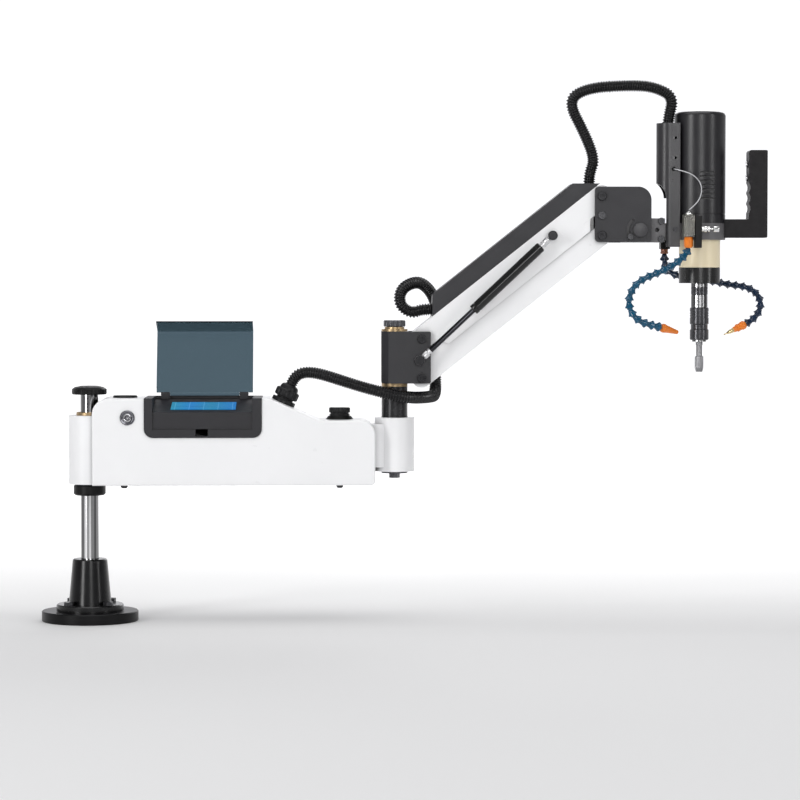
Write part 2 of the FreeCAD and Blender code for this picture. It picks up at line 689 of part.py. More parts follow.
def make_collar():
    collar = turned([
        (COLUMN_BORE, COLLAR_BOTTOM), (COLLAR_RADIUS - COLLAR_ROUND, COLLAR_BOTTOM),
        (COLLAR_RADIUS, COLLAR_BOTTOM + COLLAR_ROUND), (COLLAR_RADIUS, COLLAR_TOP - 1.0),
        (COLLAR_RADIUS - 1.0, COLLAR_TOP), (COLUMN_BORE, COLLAR_TOP),
    ])
    slot = block(-COLLAR_SLOT / 2, COLLAR_SLOT / 2, 0, COLLAR_RADIUS + 1, COLLAR_BOTTOM - 1, COLLAR_TOP + 1)
    middle = (COLLAR_BOTTOM + COLLAR_TOP) / 2
    hole = rod_x(COLLAR_SCREW_RADIUS + SCREW_FIT, -14.0, COLLAR_RADIUS, COLLAR_SCREW_PLACE, middle)
    seat = rod_x(COLLAR_SCREW_HEAD_RADIUS + FLAT_GAP, 7.0, COLLAR_RADIUS, COLLAR_SCREW_PLACE, middle)
    save("height_collar", collar.cut(slot).cut(hole).cut(seat))

    shank = rod_x(COLLAR_SCREW_RADIUS, -13.0, 7.0, COLLAR_SCREW_PLACE, middle)
    head = point_solid(slotted_head(COLLAR_SCREW_HEAD_RADIUS, COLLAR_SCREW_HEAD, 5.0),
                       Vec(7.0, COLLAR_SCREW_PLACE, middle), Vec(1, 0, 0))
    save("collar_screw", shank.fuse(head).removeSplitter())

    save("thrust_washer", turned([
        (COLUMN_BORE, COLLAR_TOP), (COLLAR_RADIUS - 3.0, COLLAR_TOP),
        (COLLAR_RADIUS - 3.0, COLLAR_TOP + WASHER_THICK), (COLUMN_BORE, COLLAR_TOP + WASHER_THICK),
    ]))


# ==== control arm ====

HUB_BOTTOM = COLLAR_TOP + WASHER_THICK + FLAT_GAP
BUSH_RADIUS = COLUMN_RADIUS + RUNNING_FIT + BUSH_WALL
SLOPE = math.atan2(ARM_TOP - ARM_LOW_TOP, SLOPE_END - SLOPE_START)
SLOPE_NORMAL = Vec(math.sin(SLOPE), 0, math.cos(SLOPE))
POST_BORE = POST_CORE_RADIUS + RUNNING_FIT
PANEL_FRONT = -ARM_HALF_DEPTH - PANEL_PROUD


def slope_point(x, y=0.0):
    return Vec(x, y, ARM_TOP - (x - SLOPE_START) * math.tan(SLOPE))


def arm_outline(inset, bottom):
    """The side view of the box, moved inwards by a wall."""
    shift = inset * math.tan(SLOPE / 2)
    return [
        (ARM_LEFT + inset, bottom, 1.0),
        (ARM_RIGHT - inset, bottom, LOWER_CORNER - inset if inset else LOWER_CORNER),
        (ARM_RIGHT - inset, ARM_LOW_TOP - inset, RIGHT_CORNER - inset),
        (SLOPE_END - shift, ARM_LOW_TOP - inset, 8.0),
        (SLOPE_START - shift, ARM_TOP - inset, 8.0),
        (ARM_LEFT + inset, ARM_TOP - inset, LEFT_CORNER - inset),
    ]


def make_arm_housing():
    half = ARM_HALF_DEPTH
    shell = side_plate(arm_outline(0.0, HUB_BOTTOM), -half, half)
    shell = shell.makeFillet(ARM_EDGE, edges_where(
        shell, lambda e: abs(abs(e.BoundBox.YMin) - half) < 1e-3 and e.BoundBox.YLength < 1e-3
        and e.BoundBox.ZMax > HUB_BOTTOM + 12.0))
    inner = side_plate(arm_outline(ARM_WALL, HUB_BOTTOM - 1.0), ARM_WALL - half, half - ARM_WALL)
    left_hub = rod_z(LEFT_HUB_RADIUS, HUB_BOTTOM, LEFT_HUB_TOP)
    right_hub = rod_z(RIGHT_HUB_RADIUS, RIGHT_HUB_BOTTOM, RIGHT_HUB_TOP, ARM_REACH)
    neck = block(NECK_START, ARM_REACH, -NECK_HALF_DEPTH, NECK_HALF_DEPTH,
                 RIGHT_HUB_BOTTOM + NECK_MARGIN, ARM_LOW_TOP - NECK_MARGIN)
    shell = shell.cut(inner)
    column_room = rod_z(BUSH_FLANGE_RADIUS + COLUMN_CLEARANCE, LEFT_HUB_TOP, ARM_TOP + 1.0)
    shell = shell.cut(column_room)
    bosses = []
    for x in COVER_SCREW_XS:
        for y in (-COVER_SCREW_Y, COVER_SCREW_Y):
            low = HUB_BOTTOM + COVER_THICK
            bosses.append(rod_z(COVER_BOSS_RADIUS, low, low + COVER_BOSS_HEIGHT, x, y))
            side = half - ARM_WALL / 2
            bosses.append(block(x - 2.0, x + 2.0, min(y, math.copysign(side, y)),
                                max(y, math.copysign(side, y)), low, low + COVER_BOSS_HEIGHT))
    housing = fuse_all([shell, left_hub, right_hub, neck] + bosses)
    housing = housing.cut(rod_z(BUSH_RADIUS, HUB_BOTTOM - 1.0, LEFT_HUB_TOP + 1.0))
    housing = housing.cut(rod_z(POST_BORE, RIGHT_HUB_BOTTOM - 1.0, RIGHT_HUB_TOP + 1.0, ARM_REACH))
    seat_gap = FLAT_GAP
    window = side_plate([
        (PANEL_LEFT - seat_gap, ARM_TOP + 5.0, 0.0), (PANEL_RIGHT + seat_gap, ARM_TOP + 5.0, 0.0),
        (PANEL_RIGHT + seat_gap, PANEL_BOTTOM - seat_gap, PANEL_CORNER),
        (PANEL_LEFT - seat_gap, PANEL_BOTTOM - seat_gap, PANEL_CORNER),
    ], -half - 1.0, half - ARM_WALL - FLAT_GAP)
    back_window = block(PANEL_LEFT - seat_gap, PANEL_RIGHT + seat_gap, 0.0, half + 1.0,
                        ARM_TOP - ARM_WALL - 2.0, ARM_TOP + 5.0)
    housing = housing.cut(window).cut(back_window)
    housing = housing.cut(rod_y(POWER_BARREL_RADIUS + SCREW_FIT, -half - 1.0, -half + ARM_WALL + 1.0,
                                POWER_BUTTON_X, POWER_BUTTON_Z))
    housing = housing.cut(rod_z(TOP_DISC_STEM_RADIUS + SCREW_FIT, ARM_TOP - ARM_WALL - 1.0,
                                ARM_TOP + 1.0, TOP_DISC_X))
    housing = housing.cut(rod_z(SOCKET_BODY_RADIUS + SCREW_FIT, ARM_LOW_TOP - ARM_WALL - 1.0,
                                ARM_LOW_TOP + 1.0, SOCKET_X))
    gland_hole = Part.makeCylinder(GLAND_STEM_RADIUS + SCREW_FIT, 3 * ARM_WALL)
    point_solid(gland_hole, slope_point(GLAND_X) - SLOPE_NORMAL * (2 * ARM_WALL), SLOPE_NORMAL)
    housing = housing.cut(gland_hole)
    for x in COVER_SCREW_XS:
        for y in (-COVER_SCREW_Y, COVER_SCREW_Y):
            top = HUB_BOTTOM + COVER_THICK + COVER_BOSS_HEIGHT - 2.0
            housing = housing.cut(rod_z(COVER_SCREW_RADIUS + SCREW_FIT, HUB_BOTTOM, top, x, y))
    return housing


def make_arm_cover():
    """The plate that closes the box from below, with the screws that hold it."""
    gap = FLAT_GAP
    left = ARM_LEFT + ARM_WALL + gap
    right = ARM_RIGHT - ARM_WALL - COVER_END_GAP
    half = ARM_HALF_DEPTH - ARM_WALL - gap
    cover = flat_plate([(left, -half, 2.0), (right, -half, 2.0), (right, half, 2.0), (left, half, 2.0)],
                       HUB_BOTTOM, HUB_BOTTOM + COVER_THICK)
    cover = cover.cut(rod_z(LEFT_HUB_RADIUS + gap, HUB_BOTTOM - 1.0, HUB_BOTTOM + COVER_THICK + 1.0))
    screws = []
    for x in COVER_SCREW_XS:
        for y in (-COVER_SCREW_Y, COVER_SCREW_Y):
            top = HUB_BOTTOM + COVER_THICK
            cover = cover.cut(rod_z(COVER_SCREW_RADIUS + SCREW_FIT, HUB_BOTTOM - 1.0, top + 1.0, x, y))
            screws.append(turned([
                (0, HUB_BOTTOM - COVER_SCREW_HEAD), (COVER_SCREW_HEAD_RADIUS * 0.7, HUB_BOTTOM - COVER_SCREW_HEAD),
                (COVER_SCREW_HEAD_RADIUS, HUB_BOTTOM - COVER_SCREW_HEAD * 0.4),
                (COVER_SCREW_HEAD_RADIUS, HUB_BOTTOM), (COVER_SCREW_RADIUS, HUB_BOTTOM),
                (COVER_SCREW_RADIUS, top + COVER_BOSS_HEIGHT - 4.0), (0, top + COVER_BOSS_HEIGHT - 4.0),
            ], x, y))
    save("arm_bottom_cover", cover)
    save("bottom_cover_screws", *screws)


def make_control_arm():
    save("arm_housing", make_arm_housing())
    make_arm_cover()

    bore = COLUMN_RADIUS + RUNNING_FIT
    upper_bush = turned([
        (bore, LEFT_HUB_TOP - BUSH_LENGTH), (BUSH_RADIUS, LEFT_HUB_TOP - BUSH_LENGTH),
        (BUSH_RADIUS, LEFT_HUB_TOP), (BUSH_FLANGE_RADIUS, LEFT_HUB_TOP),
        (BUSH_FLANGE_RADIUS, LEFT_HUB_TOP + BUSH_FLANGE - 1.0),
        (BUSH_FLANGE_RADIUS - 1.0, LEFT_HUB_TOP + BUSH_FLANGE), (bore, LEFT_HUB_TOP + BUSH_FLANGE),
    ])
    lower_bush = turned([
        (bore, HUB_BOTTOM), (BUSH_RADIUS, HUB_BOTTOM),
        (BUSH_RADIUS, HUB_BOTTOM + BUSH_LENGTH), (bore, HUB_BOTTOM + BUSH_LENGTH),
    ])
    save("column_bushes", upper_bush, lower_bush)

    disc_top = ARM_TOP + TOP_DISC_PROUD
    save("top_plug", turned([
        (0, ARM_TOP - ARM_WALL), (TOP_DISC_STEM_RADIUS, ARM_TOP - ARM_WALL), (TOP_DISC_STEM_RADIUS, ARM_TOP),
        (TOP_DISC_RADIUS, ARM_TOP), (TOP_DISC_RADIUS, disc_top - 1.0), (TOP_DISC_RADIUS - 1.0, disc_top),
        (0, disc_top),
    ], TOP_DISC_X))

    flange_top = ARM_LOW_TOP + SOCKET_FLANGE
    save("foot_switch_socket", turned([
        (0, ARM_LOW_TOP - SOCKET_BODY_DEPTH), (SOCKET_BODY_RADIUS, ARM_LOW_TOP - SOCKET_BODY_DEPTH),
        (SOCKET_BODY_RADIUS, ARM_LOW_TOP), (SOCKET_FLANGE_RADIUS, ARM_LOW_TOP),
        (SOCKET_FLANGE_RADIUS - 4.0, flange_top), (0, flange_top),
    ], SOCKET_X))
    save("socket_cap", turned([
        (0, flange_top), (SOCKET_CAP_RADIUS, flange_top), (SOCKET_CAP_RADIUS, flange_top + SOCKET_CAP - 1.5),
        (SOCKET_CAP_RADIUS - 1.5, flange_top + SOCKET_CAP), (0, flange_top + SOCKET_CAP),
    ], SOCKET_X))

    make_gland()
    make_power_button()


def make_gland():
    """A conduit gland on the slope: stem, flange, hexagon nut and a domed clamping end."""
    foot = GLAND_FLANGE
    nut_top = foot + GLAND_NUT
    top = nut_top + GLAND_DOME
    body = turned([
        (0, -GLAND_STEM), (GLAND_STEM_RADIUS, -GLAND_STEM), (GLAND_STEM_RADIUS, 0),
        (GLAND_FLANGE_RADIUS, 0), (GLAND_FLANGE_RADIUS, foot - 1.0), (GLAND_FLANGE_RADIUS - 1.0, foot),
        (GLAND_DOME_RADIUS, foot), (GLAND_DOME_RADIUS, nut_top + GLAND_DOME * 0.6),
        (GLAND_DOME_RADIUS - 3.0, top), (0, top),
    ])
    nut = hexagon(GLAND_NUT_FLATS, foot, nut_top)
    gland = fuse_all([body, nut])
    save("conduit_gland", point_solid(gland, slope_point(GLAND_X), SLOPE_NORMAL))


def gland_mouth():
    return slope_point(GLAND_X) + SLOPE_NORMAL * (GLAND_FLANGE + GLAND_NUT + GLAND_DOME)


def make_power_button():
    """The round metal push switch on the arm's front: a threaded barrel and its moving cap."""
    face = ARM_HALF_DEPTH
    pocket = POWER_CAP_LENGTH + BUTTON_TRAVEL + FLAT_GAP
    barrel = turned([
        (0, face - POWER_BARREL_LENGTH), (POWER_BARREL_RADIUS, face - POWER_BARREL_LENGTH),
        (POWER_BARREL_RADIUS, face), (POWER_BEZEL_RADIUS, face),
        (POWER_BEZEL_RADIUS, face + POWER_BEZEL_PROUD * 0.5),
        (POWER_BEZEL_RADIUS - 1.5, face + POWER_BEZEL_PROUD),
        (POWER_CAP_RADIUS + RUNNING_FIT, face + POWER_BEZEL_PROUD),
        (POWER_CAP_RADIUS + RUNNING_FIT, face + POWER_BEZEL_PROUD - pocket),
        (0, face + POWER_BEZEL_PROUD - pocket),
    ])
    place = Vec(POWER_BUTTON_X, 0, POWER_BUTTON_Z)
    save("power_switch_barrel", point_solid(barrel, place, Vec(0, -1, 0)))
    top = face + POWER_BEZEL_PROUD + POWER_CAP_PROUD
    cap = turned([
        (0, top - POWER_CAP_LENGTH - POWER_CAP_PROUD), (POWER_CAP_RADIUS, top - POWER_CAP_LENGTH - POWER_CAP_PROUD),
        (POWER_CAP_RADIUS, top - 0.8), (POWER_CAP_RADIUS - 0.8, top), (0, top),
    ])
    save("power_button", point_solid(cap, place, Vec(0, -1, 0)))


# ==== display: housing, screen, hinged lid ====

RECESS_FRONT = PANEL_FRONT + RECESS_DEPTH
HINGE_Z = PANEL_TOP + HINGE_RADIUS
PANEL_SLOPE = math.atan2(RECESS_BACK_Z - RECESS_STEP, ARM_HALF_DEPTH - 4.0 - RECESS_FRONT)
LID_LEFT = RECESS_LEFT + LID_GAP
LID_RIGHT = RECESS_RIGHT - LID_GAP


def panel_height(y):
    return RECESS_STEP + (y - RECESS_FRONT) * math.tan(PANEL_SLOPE)


def make_display_housing():
    back = ARM_HALF_DEPTH
    housing = side_plate([
        (PANEL_LEFT, PANEL_TOP, 0.0), (PANEL_RIGHT, PANEL_TOP, 0.0),
        (PANEL_RIGHT, PANEL_BOTTOM, PANEL_CORNER), (PANEL_LEFT, PANEL_BOTTOM, PANEL_CORNER),
    ], PANEL_FRONT, back - ARM_WALL - 2 * FLAT_GAP)
    back_strip = block(PANEL_LEFT, PANEL_RIGHT, back - 2 * ARM_WALL, back,
                       ARM_TOP - ARM_WALL - 2.0 + FLAT_GAP, PANEL_TOP)
    housing = fuse_all([housing, back_strip])
    recess = cross_section([
        (PANEL_FRONT - 1.0, RECESS_BOTTOM, 0.0), (RECESS_FRONT, RECESS_BOTTOM, 0.0),
        (RECESS_FRONT, RECESS_STEP, 0.0), (back - 4.0, RECESS_BACK_Z, 0.0),
        (back - 4.0, PANEL_TOP + 1.0, 0.0), (PANEL_FRONT - 1.0, PANEL_TOP + 1.0, 0.0),
    ], RECESS_LEFT, RECESS_RIGHT)
    housing = housing.cut(recess)
    inner_top = RECESS_STEP - PANEL_WALL
    hollow = block(PANEL_LEFT + PANEL_WALL, PANEL_RIGHT - PANEL_WALL, RECESS_FRONT + PANEL_WALL,
                   back - 3 * ARM_WALL, PANEL_BOTTOM - 1.0, inner_top)
    housing = housing.cut(hollow)
    for centre in HINGE_KNUCKLES:
        housing = housing.fuse(hinge_knuckle(centre))
    housing = housing.removeSplitter().cut(rod_x(HINGE_PIN_RADIUS + RUNNING_FIT, RECESS_LEFT, RECESS_RIGHT,
                                                 HINGE_Y, HINGE_Z))
    notch = block(NOTCH_LEFT, NOTCH_RIGHT, PANEL_FRONT - 1.0, PANEL_FRONT + NOTCH_DEPTH,
                  RECESS_BOTTOM - NOTCH_HEIGHT, RECESS_BOTTOM + 1.0)
    housing = housing.cut(notch)
    middle = (SCREEN_LEFT + SCREEN_RIGHT) / 2
    housing = housing.cut(screen_slab(SCREEN_LEFT - SCREW_FIT, SCREEN_RIGHT + SCREW_FIT,
                                      -SCREW_FIT, SCREEN_DEPTH + SCREW_FIT, -SCREEN_THICK, 5.0, middle))
    save("display_housing", housing)


def screen_slab(left, right, near, far, low, high, middle):
    """A slab lying on the sloping panel; near and far run up the slope from the screen's edge."""
    start = RECESS_FRONT + SCREEN_FROM_FRONT
    slab = block(left - middle, right - middle, near, far, low, high)
    slab.Placement = FreeCAD.Placement(
        Vec(middle, start, panel_height(start)), FreeCAD.Rotation(Vec(1, 0, 0), math.degrees(PANEL_SLOPE)))
    return slab


def make_screen():
    middle = (SCREEN_LEFT + SCREEN_RIGHT) / 2
    screen = screen_slab(SCREEN_LEFT, SCREEN_RIGHT, 0.0, SCREEN_DEPTH, -SCREEN_THICK, SCREEN_PROUD, middle)
    save("touch_screen", screen)


# ==== display lid ====

LID_FRONT = RECESS_FRONT - LID_LIP_GAP - LID_THICK


def hinge_knuckle(centre):
    left = centre - HINGE_KNUCKLE_LENGTH / 2
    right = centre + HINGE_KNUCKLE_LENGTH / 2
    barrel = rod_x(HINGE_RADIUS, left, right, HINGE_Y, HINGE_Z)
    foot = block(left, right, HINGE_Y - HINGE_RADIUS, HINGE_Y + HINGE_RADIUS, RECESS_BACK_Z - 1.0, HINGE_Z)
    return barrel.fuse(foot)


def make_lid():
    """The hinged hood over the screen, modelled open. It is drawn shut, with its lip down the
    front of the housing, and then turned about its hinge."""
    top = HINGE_Z + HINGE_RADIUS
    under = top - LID_THICK
    sheet = cross_section([
        (HINGE_Y - HINGE_RADIUS, under, 0.0), (HINGE_Y - HINGE_RADIUS, top, 0.0),
        (LID_FRONT, top, 6.0), (LID_FRONT, top - LID_LIP, 0.0), (LID_FRONT + LID_THICK, top - LID_LIP, 0.0),
        (LID_FRONT + LID_THICK, under, 3.0),
    ], LID_LEFT, LID_RIGHT)
    pieces = [sheet]
    for left in (LID_LEFT, LID_RIGHT - LID_THICK):
        pieces.append(block(left, left + LID_THICK, LID_FRONT + LID_THICK, HINGE_Y - 3 * HINGE_RADIUS,
                            under - LID_RIB, under + 0.5))
    inner = HINGE_KNUCKLE_LENGTH / 2 + HINGE_GAP
    first = HINGE_KNUCKLES[0] + inner
    last = HINGE_KNUCKLES[1] - inner
    pieces.append(rod_x(HINGE_RADIUS, first, last, HINGE_Y, HINGE_Z))
    pieces.append(block(first, last, HINGE_Y - HINGE_RADIUS - 1.0, HINGE_Y, HINGE_Z, top))
    lid = fuse_all(pieces)
    for centre in HINGE_KNUCKLES:
        lid = lid.cut(block(centre - inner, centre + inner, HINGE_Y - HINGE_RADIUS - HINGE_GAP,
                            HINGE_Y + HINGE_RADIUS + HINGE_GAP, HINGE_Z - HINGE_RADIUS, top + 1.0))
    pin = rod_x(HINGE_PIN_RADIUS, HINGE_KNUCKLES[0] - inner, HINGE_KNUCKLES[1] + inner, HINGE_Y, HINGE_Z)
    lid = fuse_all([lid, pin])
    lid.rotate(Vec(0, HINGE_Y, HINGE_Z), Vec(1, 0, 0), -LID_OPEN)
    save("display_lid", lid)


# ==== swivel post at the arm's end ====

RING_BOTTOM_Z = POST_SHOULDER_TOP + RING_GAP
NUT_BOTTOM = BLOCK_TOP + FLANGE_THICK + FLANGE_STEP + POST_NUT_GAP
SWIVEL_BUSH_RADIUS = POST_RADIUS + RUNNING_FIT + SWIVEL_BUSH_WALL


def make_post():
    post = turned([
        (0, RIGHT_HUB_BOTTOM), (POST_CORE_RADIUS, RIGHT_HUB_BOTTOM), (POST_CORE_RADIUS, RIGHT_HUB_TOP),
        (POST_SHOULDER_RADIUS, RIGHT_HUB_TOP), (POST_SHOULDER_RADIUS, POST_SHOULDER_TOP),
        (POST_RADIUS, POST_SHOULDER_TOP), (POST_RADIUS, NUT_BOTTOM), (POST_THREAD_RADIUS, NUT_BOTTOM),
        (POST_THREAD_RADIUS, NUT_BOTTOM + POST_THREAD), (0, NUT_BOTTOM + POST_THREAD),
    ], ARM_REACH)
    bite = RIGHT_HUB_BOTTOM + POST_BOLT_BITE
    post = post.cut(rod_z(POST_BOLT_RADIUS + SCREW_FIT, RIGHT_HUB_BOTTOM - 1.0, bite + 1.0, ARM_REACH))
    save("swivel_post", post)

    washer_bottom = RIGHT_HUB_BOTTOM - POST_WASHER
    bolt = fuse_all([
        rod_z(POST_WASHER_RADIUS, washer_bottom, RIGHT_HUB_BOTTOM, ARM_REACH),
        hexagon(POST_BOLT_FLATS, washer_bottom - POST_BOLT_HEAD, washer_bottom, ARM_REACH),
        rod_z(POST_BOLT_RADIUS, RIGHT_HUB_BOTTOM - 1.0, bite, ARM_REACH),
    ])
    top = NUT_BOTTOM + POST_NUT
    nut = turned([
        (POST_THREAD_RADIUS + SCREW_FIT, NUT_BOTTOM), (POST_NUT_RADIUS - 1.0, NUT_BOTTOM),
        (POST_NUT_RADIUS, NUT_BOTTOM + 1.0), (POST_NUT_RADIUS, top - 1.5), (POST_NUT_RADIUS - 1.5, top),
        (0, top), (0, NUT_BOTTOM + POST_THREAD), (POST_THREAD_RADIUS + SCREW_FIT, NUT_BOTTOM + POST_THREAD),
    ], ARM_REACH)
    for x, y in on_circle(POST_NUT_RADIUS + POST_NUT_FLUTE_RADIUS / 2, POST_NUT_FLUTES):
        nut = nut.cut(rod_z(POST_NUT_FLUTE_RADIUS, NUT_BOTTOM - 1.0, top + 1.0, ARM_REACH + x, y))
    save("post_fastenings", bolt, nut)


# ==== swivel block ====

PIN_BORE = PIN_RADIUS + RUNNING_FIT
STRUT_EYE_FRONT = -STRUT_OUTBOARD - STRUT_EYE_WIDTH / 2
STRUT_EYE_BACK = -STRUT_OUTBOARD + STRUT_EYE_WIDTH / 2


def make_block():
    left = ARM_REACH - BLOCK_LEFT
    right = ARM_REACH + BLOCK_RIGHT
    half = BLOCK_HALF_DEPTH
    body = flat_plate([
        (left, BLOCK_CHAMFER - half, 0.0), (left + BLOCK_CHAMFER, -half, 0.0), (right, -half, 1.0),
        (right, half, 1.0), (left + BLOCK_CHAMFER, half, 0.0), (left, half - BLOCK_CHAMFER, 0.0),
    ], BLOCK_BOTTOM, BLOCK_TOP)
    outline = side_plate([
        (left, BLOCK_BOTTOM, 1.0), (right, BLOCK_BOTTOM, BLOCK_CORNER), (right, BLOCK_TOP, BLOCK_CORNER),
        (left, BLOCK_TOP, 1.0),
    ], -half, half)
    body = body.common(outline)
    inner = half - CHEEK_THICK
    body = body.cut(block(ARM_REACH + BLOCK_WEB_RIGHT, right + 1.0, -inner, inner,
                          BLOCK_BOTTOM - 1.0, BLOCK_TOP + 1.0))
    body = body.cut(rod_z(SWIVEL_BUSH_RADIUS, BLOCK_BOTTOM - 1.0, BLOCK_TOP + 1.0, ARM_REACH))
    for pivot in (UPPER_PIVOT, LOWER_PIVOT):
        body = body.cut(rod_y(PIN_RADIUS + SCREW_FIT, -half - 1.0, half + 1.0, pivot.x, pivot.z))
    body = body.cut(rod_y(STRUT_PIN_RADIUS + SCREW_FIT, -half - 1.0, half + 1.0, STRUT_LOW.x, STRUT_LOW.z))
    save("swivel_block", body)

    bore = POST_RADIUS + RUNNING_FIT
    lower = turned([
        (bore, RING_BOTTOM_Z), (POST_SHOULDER_RADIUS, RING_BOTTOM_Z), (POST_SHOULDER_RADIUS, BLOCK_BOTTOM),
        (SWIVEL_BUSH_RADIUS, BLOCK_BOTTOM), (SWIVEL_BUSH_RADIUS, BLOCK_BOTTOM + SWIVEL_BUSH_LENGTH),
        (bore, BLOCK_BOTTOM + SWIVEL_BUSH_LENGTH),
    ], ARM_REACH)
    flange_top = BLOCK_TOP + FLANGE_THICK
    upper = turned([
        (bore, BLOCK_TOP - SWIVEL_BUSH_LENGTH), (SWIVEL_BUSH_RADIUS, BLOCK_TOP - SWIVEL_BUSH_LENGTH),
        (SWIVEL_BUSH_RADIUS, BLOCK_TOP), (POST_SHOULDER_RADIUS, BLOCK_TOP), (POST_SHOULDER_RADIUS, flange_top),
        (FLANGE_STEP_RADIUS, flange_top), (FLANGE_STEP_RADIUS, flange_top + FLANGE_STEP),
        (bore, flange_top + FLANGE_STEP),
    ], ARM_REACH)
    save("swivel_bushes", lower, upper)


def pivot_pin(pivot, half_depth):
    """A pin through both cheeks with a socket head at each end."""
    pin = rod_y(PIN_RADIUS, -half_depth, half_depth, pivot.x, pivot.z)
    heads = []
    for side in (-1.0, 1.0):
        head = slotted_head(PIN_HEAD_RADIUS, PIN_HEAD, PIN_KEY)
        heads.append(point_solid(head, Vec(pivot.x, side * half_depth, pivot.z), Vec(0, side, 0)))
    return fuse_all([pin] + heads)


def strut_pin(place, seat, back):
    """A shouldered pin from the seat's front face out to the strut's eye, and back through it."""
    head_back = STRUT_EYE_FRONT - FLAT_GAP
    return fuse_all([
        rod_y(STRUT_PIN_RADIUS, head_back, back, place.x, place.z),
        rod_y(STRUT_PIN_SHOULDER, STRUT_EYE_BACK + FLAT_GAP, -seat, place.x, place.z),
        rod_y(STRUT_PIN_HEAD_RADIUS, head_back - STRUT_PIN_HEAD, head_back, place.x, place.z),
    ])


def make_block_pins():
    half = BLOCK_HALF_DEPTH
    save("block_pins", pivot_pin(UPPER_PIVOT, half), pivot_pin(LOWER_PIVOT, half),
         strut_pin(STRUT_LOW, half, half))


# ==== parallelogram arm ====

UPPER_INNER = UPPER_HALF_DEPTH - LINK_WALL
LOWER_HALF_DEPTH = UPPER_INNER - LINK_SIDE_GAP
PIVOT_TUBE_RADIUS = PIN_BORE + PIVOT_TUBE_WALL


def on_link(shape, pivot):
    """Carry a solid drawn in the link's own (u, v) axes to its pivot and slope."""
    shape.Placement = FreeCAD.Placement(pivot, FreeCAD.Rotation(Vec(0, 1, 0), -LINK_ANGLE))
    return shape


def link_channel(corners, half_depth, floor, pins):
    """A folded channel: side walls of the given outline, a floor at v = floor or beyond it,
    and a tube between the walls at each pin."""
    shell = side_plate(corners, -half_depth, half_depth)
    reach = LINK_LENGTH + 2 * UPPER_SKIRT
    inner = half_depth - LINK_WALL
    low, high = (floor - reach, floor) if floor > 0 else (floor, floor + reach)
    shell = shell.cut(block(-reach, reach + LINK_LENGTH, -inner, inner, low, high))
    tubes = [rod_y(PIVOT_TUBE_RADIUS, -inner - 1.0, inner + 1.0, u, 0.0) for u in pins]
    shell = fuse_all([shell] + tubes)
    for u in pins:
        shell = shell.cut(rod_y(PIN_BORE, -half_depth - 1.0, half_depth + 1.0, u, 0.0))
    return shell


def make_upper_beam():
    end = UPPER_TOP - 0.1
    head_end = LINK_LENGTH + UPPER_TOP
    head_notch = LINK_LENGTH - UPPER_HEAD_NOTCH
    beam = link_channel([
        (-UPPER_TOP, -UPPER_TOP, end), (UPPER_NOTCH - UPPER_NOTCH_RUN, -UPPER_TOP, LINK_CORNER),
        (UPPER_NOTCH, -UPPER_SKIRT, LINK_CORNER), (head_notch, -UPPER_SKIRT, LINK_CORNER),
        (head_notch, -UPPER_TOP, LINK_CORNER), (head_end, -UPPER_TOP, end),
        (head_end, UPPER_TOP, end), (-UPPER_TOP, UPPER_TOP, end),
    ], UPPER_HALF_DEPTH, UPPER_TOP - LINK_WALL, (0.0, LINK_LENGTH))
    eye_gap = STRUT_EYE_WIDTH / 2 + FLAT_GAP
    for side in (-1.0, 1.0):
        near, far = sorted((side * eye_gap, side * (UPPER_INNER + 1.0)))
        beam = beam.fuse(rod_y(STRUT_PIN_SHOULDER, near, far, STRUT_ALONG, 0.0))
    beam = beam.removeSplitter().cut(rod_y(STRUT_PIN_RADIUS + SCREW_FIT, -UPPER_HALF_DEPTH - 1.0,
                                           UPPER_HALF_DEPTH + 1.0, STRUT_ALONG, 0.0))
    save("upper_beam", on_link(beam, UPPER_PIVOT))
    save("strut_upper_pin", strut_pin(STRUT_HIGH, UPPER_HALF_DEPTH, UPPER_HALF_DEPTH))


def cover_outline(inset, low):
    """The cover's side view: its ends are cut plumb at the block and level at the head."""
    rise = COVER_HEIGHT - inset
    slope = math.tan(math.radians(LINK_ANGLE))
    start = COVER_START + inset / math.cos(math.radians(LINK_ANGLE))
    finish = COVER_HEAD_END - inset / math.sin(math.radians(LINK_ANGLE)) + COVER_HEIGHT / slope
    return [
        (start + low * slope, UPPER_TOP + low, 0.0), (start + rise * slope, UPPER_TOP + rise, COVER_ROUND),
        (finish - rise / slope, UPPER_TOP + rise, COVER_ROUND), (finish - low / slope, UPPER_TOP + low, 0.0),
    ]


def make_cover():
    half = UPPER_HALF_DEPTH - COVER_INSET
    cover = side_plate(cover_outline(0.0, 0.0), -half, half)
    cover = cover.cut(side_plate(cover_outline(COVER_WALL, -1.0), COVER_WALL - half, half - COVER_WALL))
    pad = side_plate([
        (PAD_U - PAD_LENGTH / 2, -PAD_LOW, 2.0), (PAD_U + PAD_LENGTH / 2, -PAD_LOW, 2.0),
        (PAD_U + PAD_LENGTH / 2, PAD_HIGH, 2.0), (PAD_U - PAD_LENGTH / 2, PAD_HIGH, 2.0),
    ], -PAD_HALF_DEPTH, PAD_HALF_DEPTH)
    flange = side_plate([
        (PAD_U - PAD_LENGTH / 2, -PAD_HIGH, 1.0), (PAD_U + PAD_LENGTH / 2, -PAD_HIGH, 1.0),
        (PAD_U + PAD_LENGTH / 2, PAD_HIGH, 2.0), (PAD_U - PAD_LENGTH / 2, PAD_HIGH, 2.0),
    ], FLAT_GAP - UPPER_INNER, UPPER_INNER - FLAT_GAP)
    save("beam_cover", on_link(cover, UPPER_PIVOT), on_link(fuse_all([pad, flange]), UPPER_PIVOT))


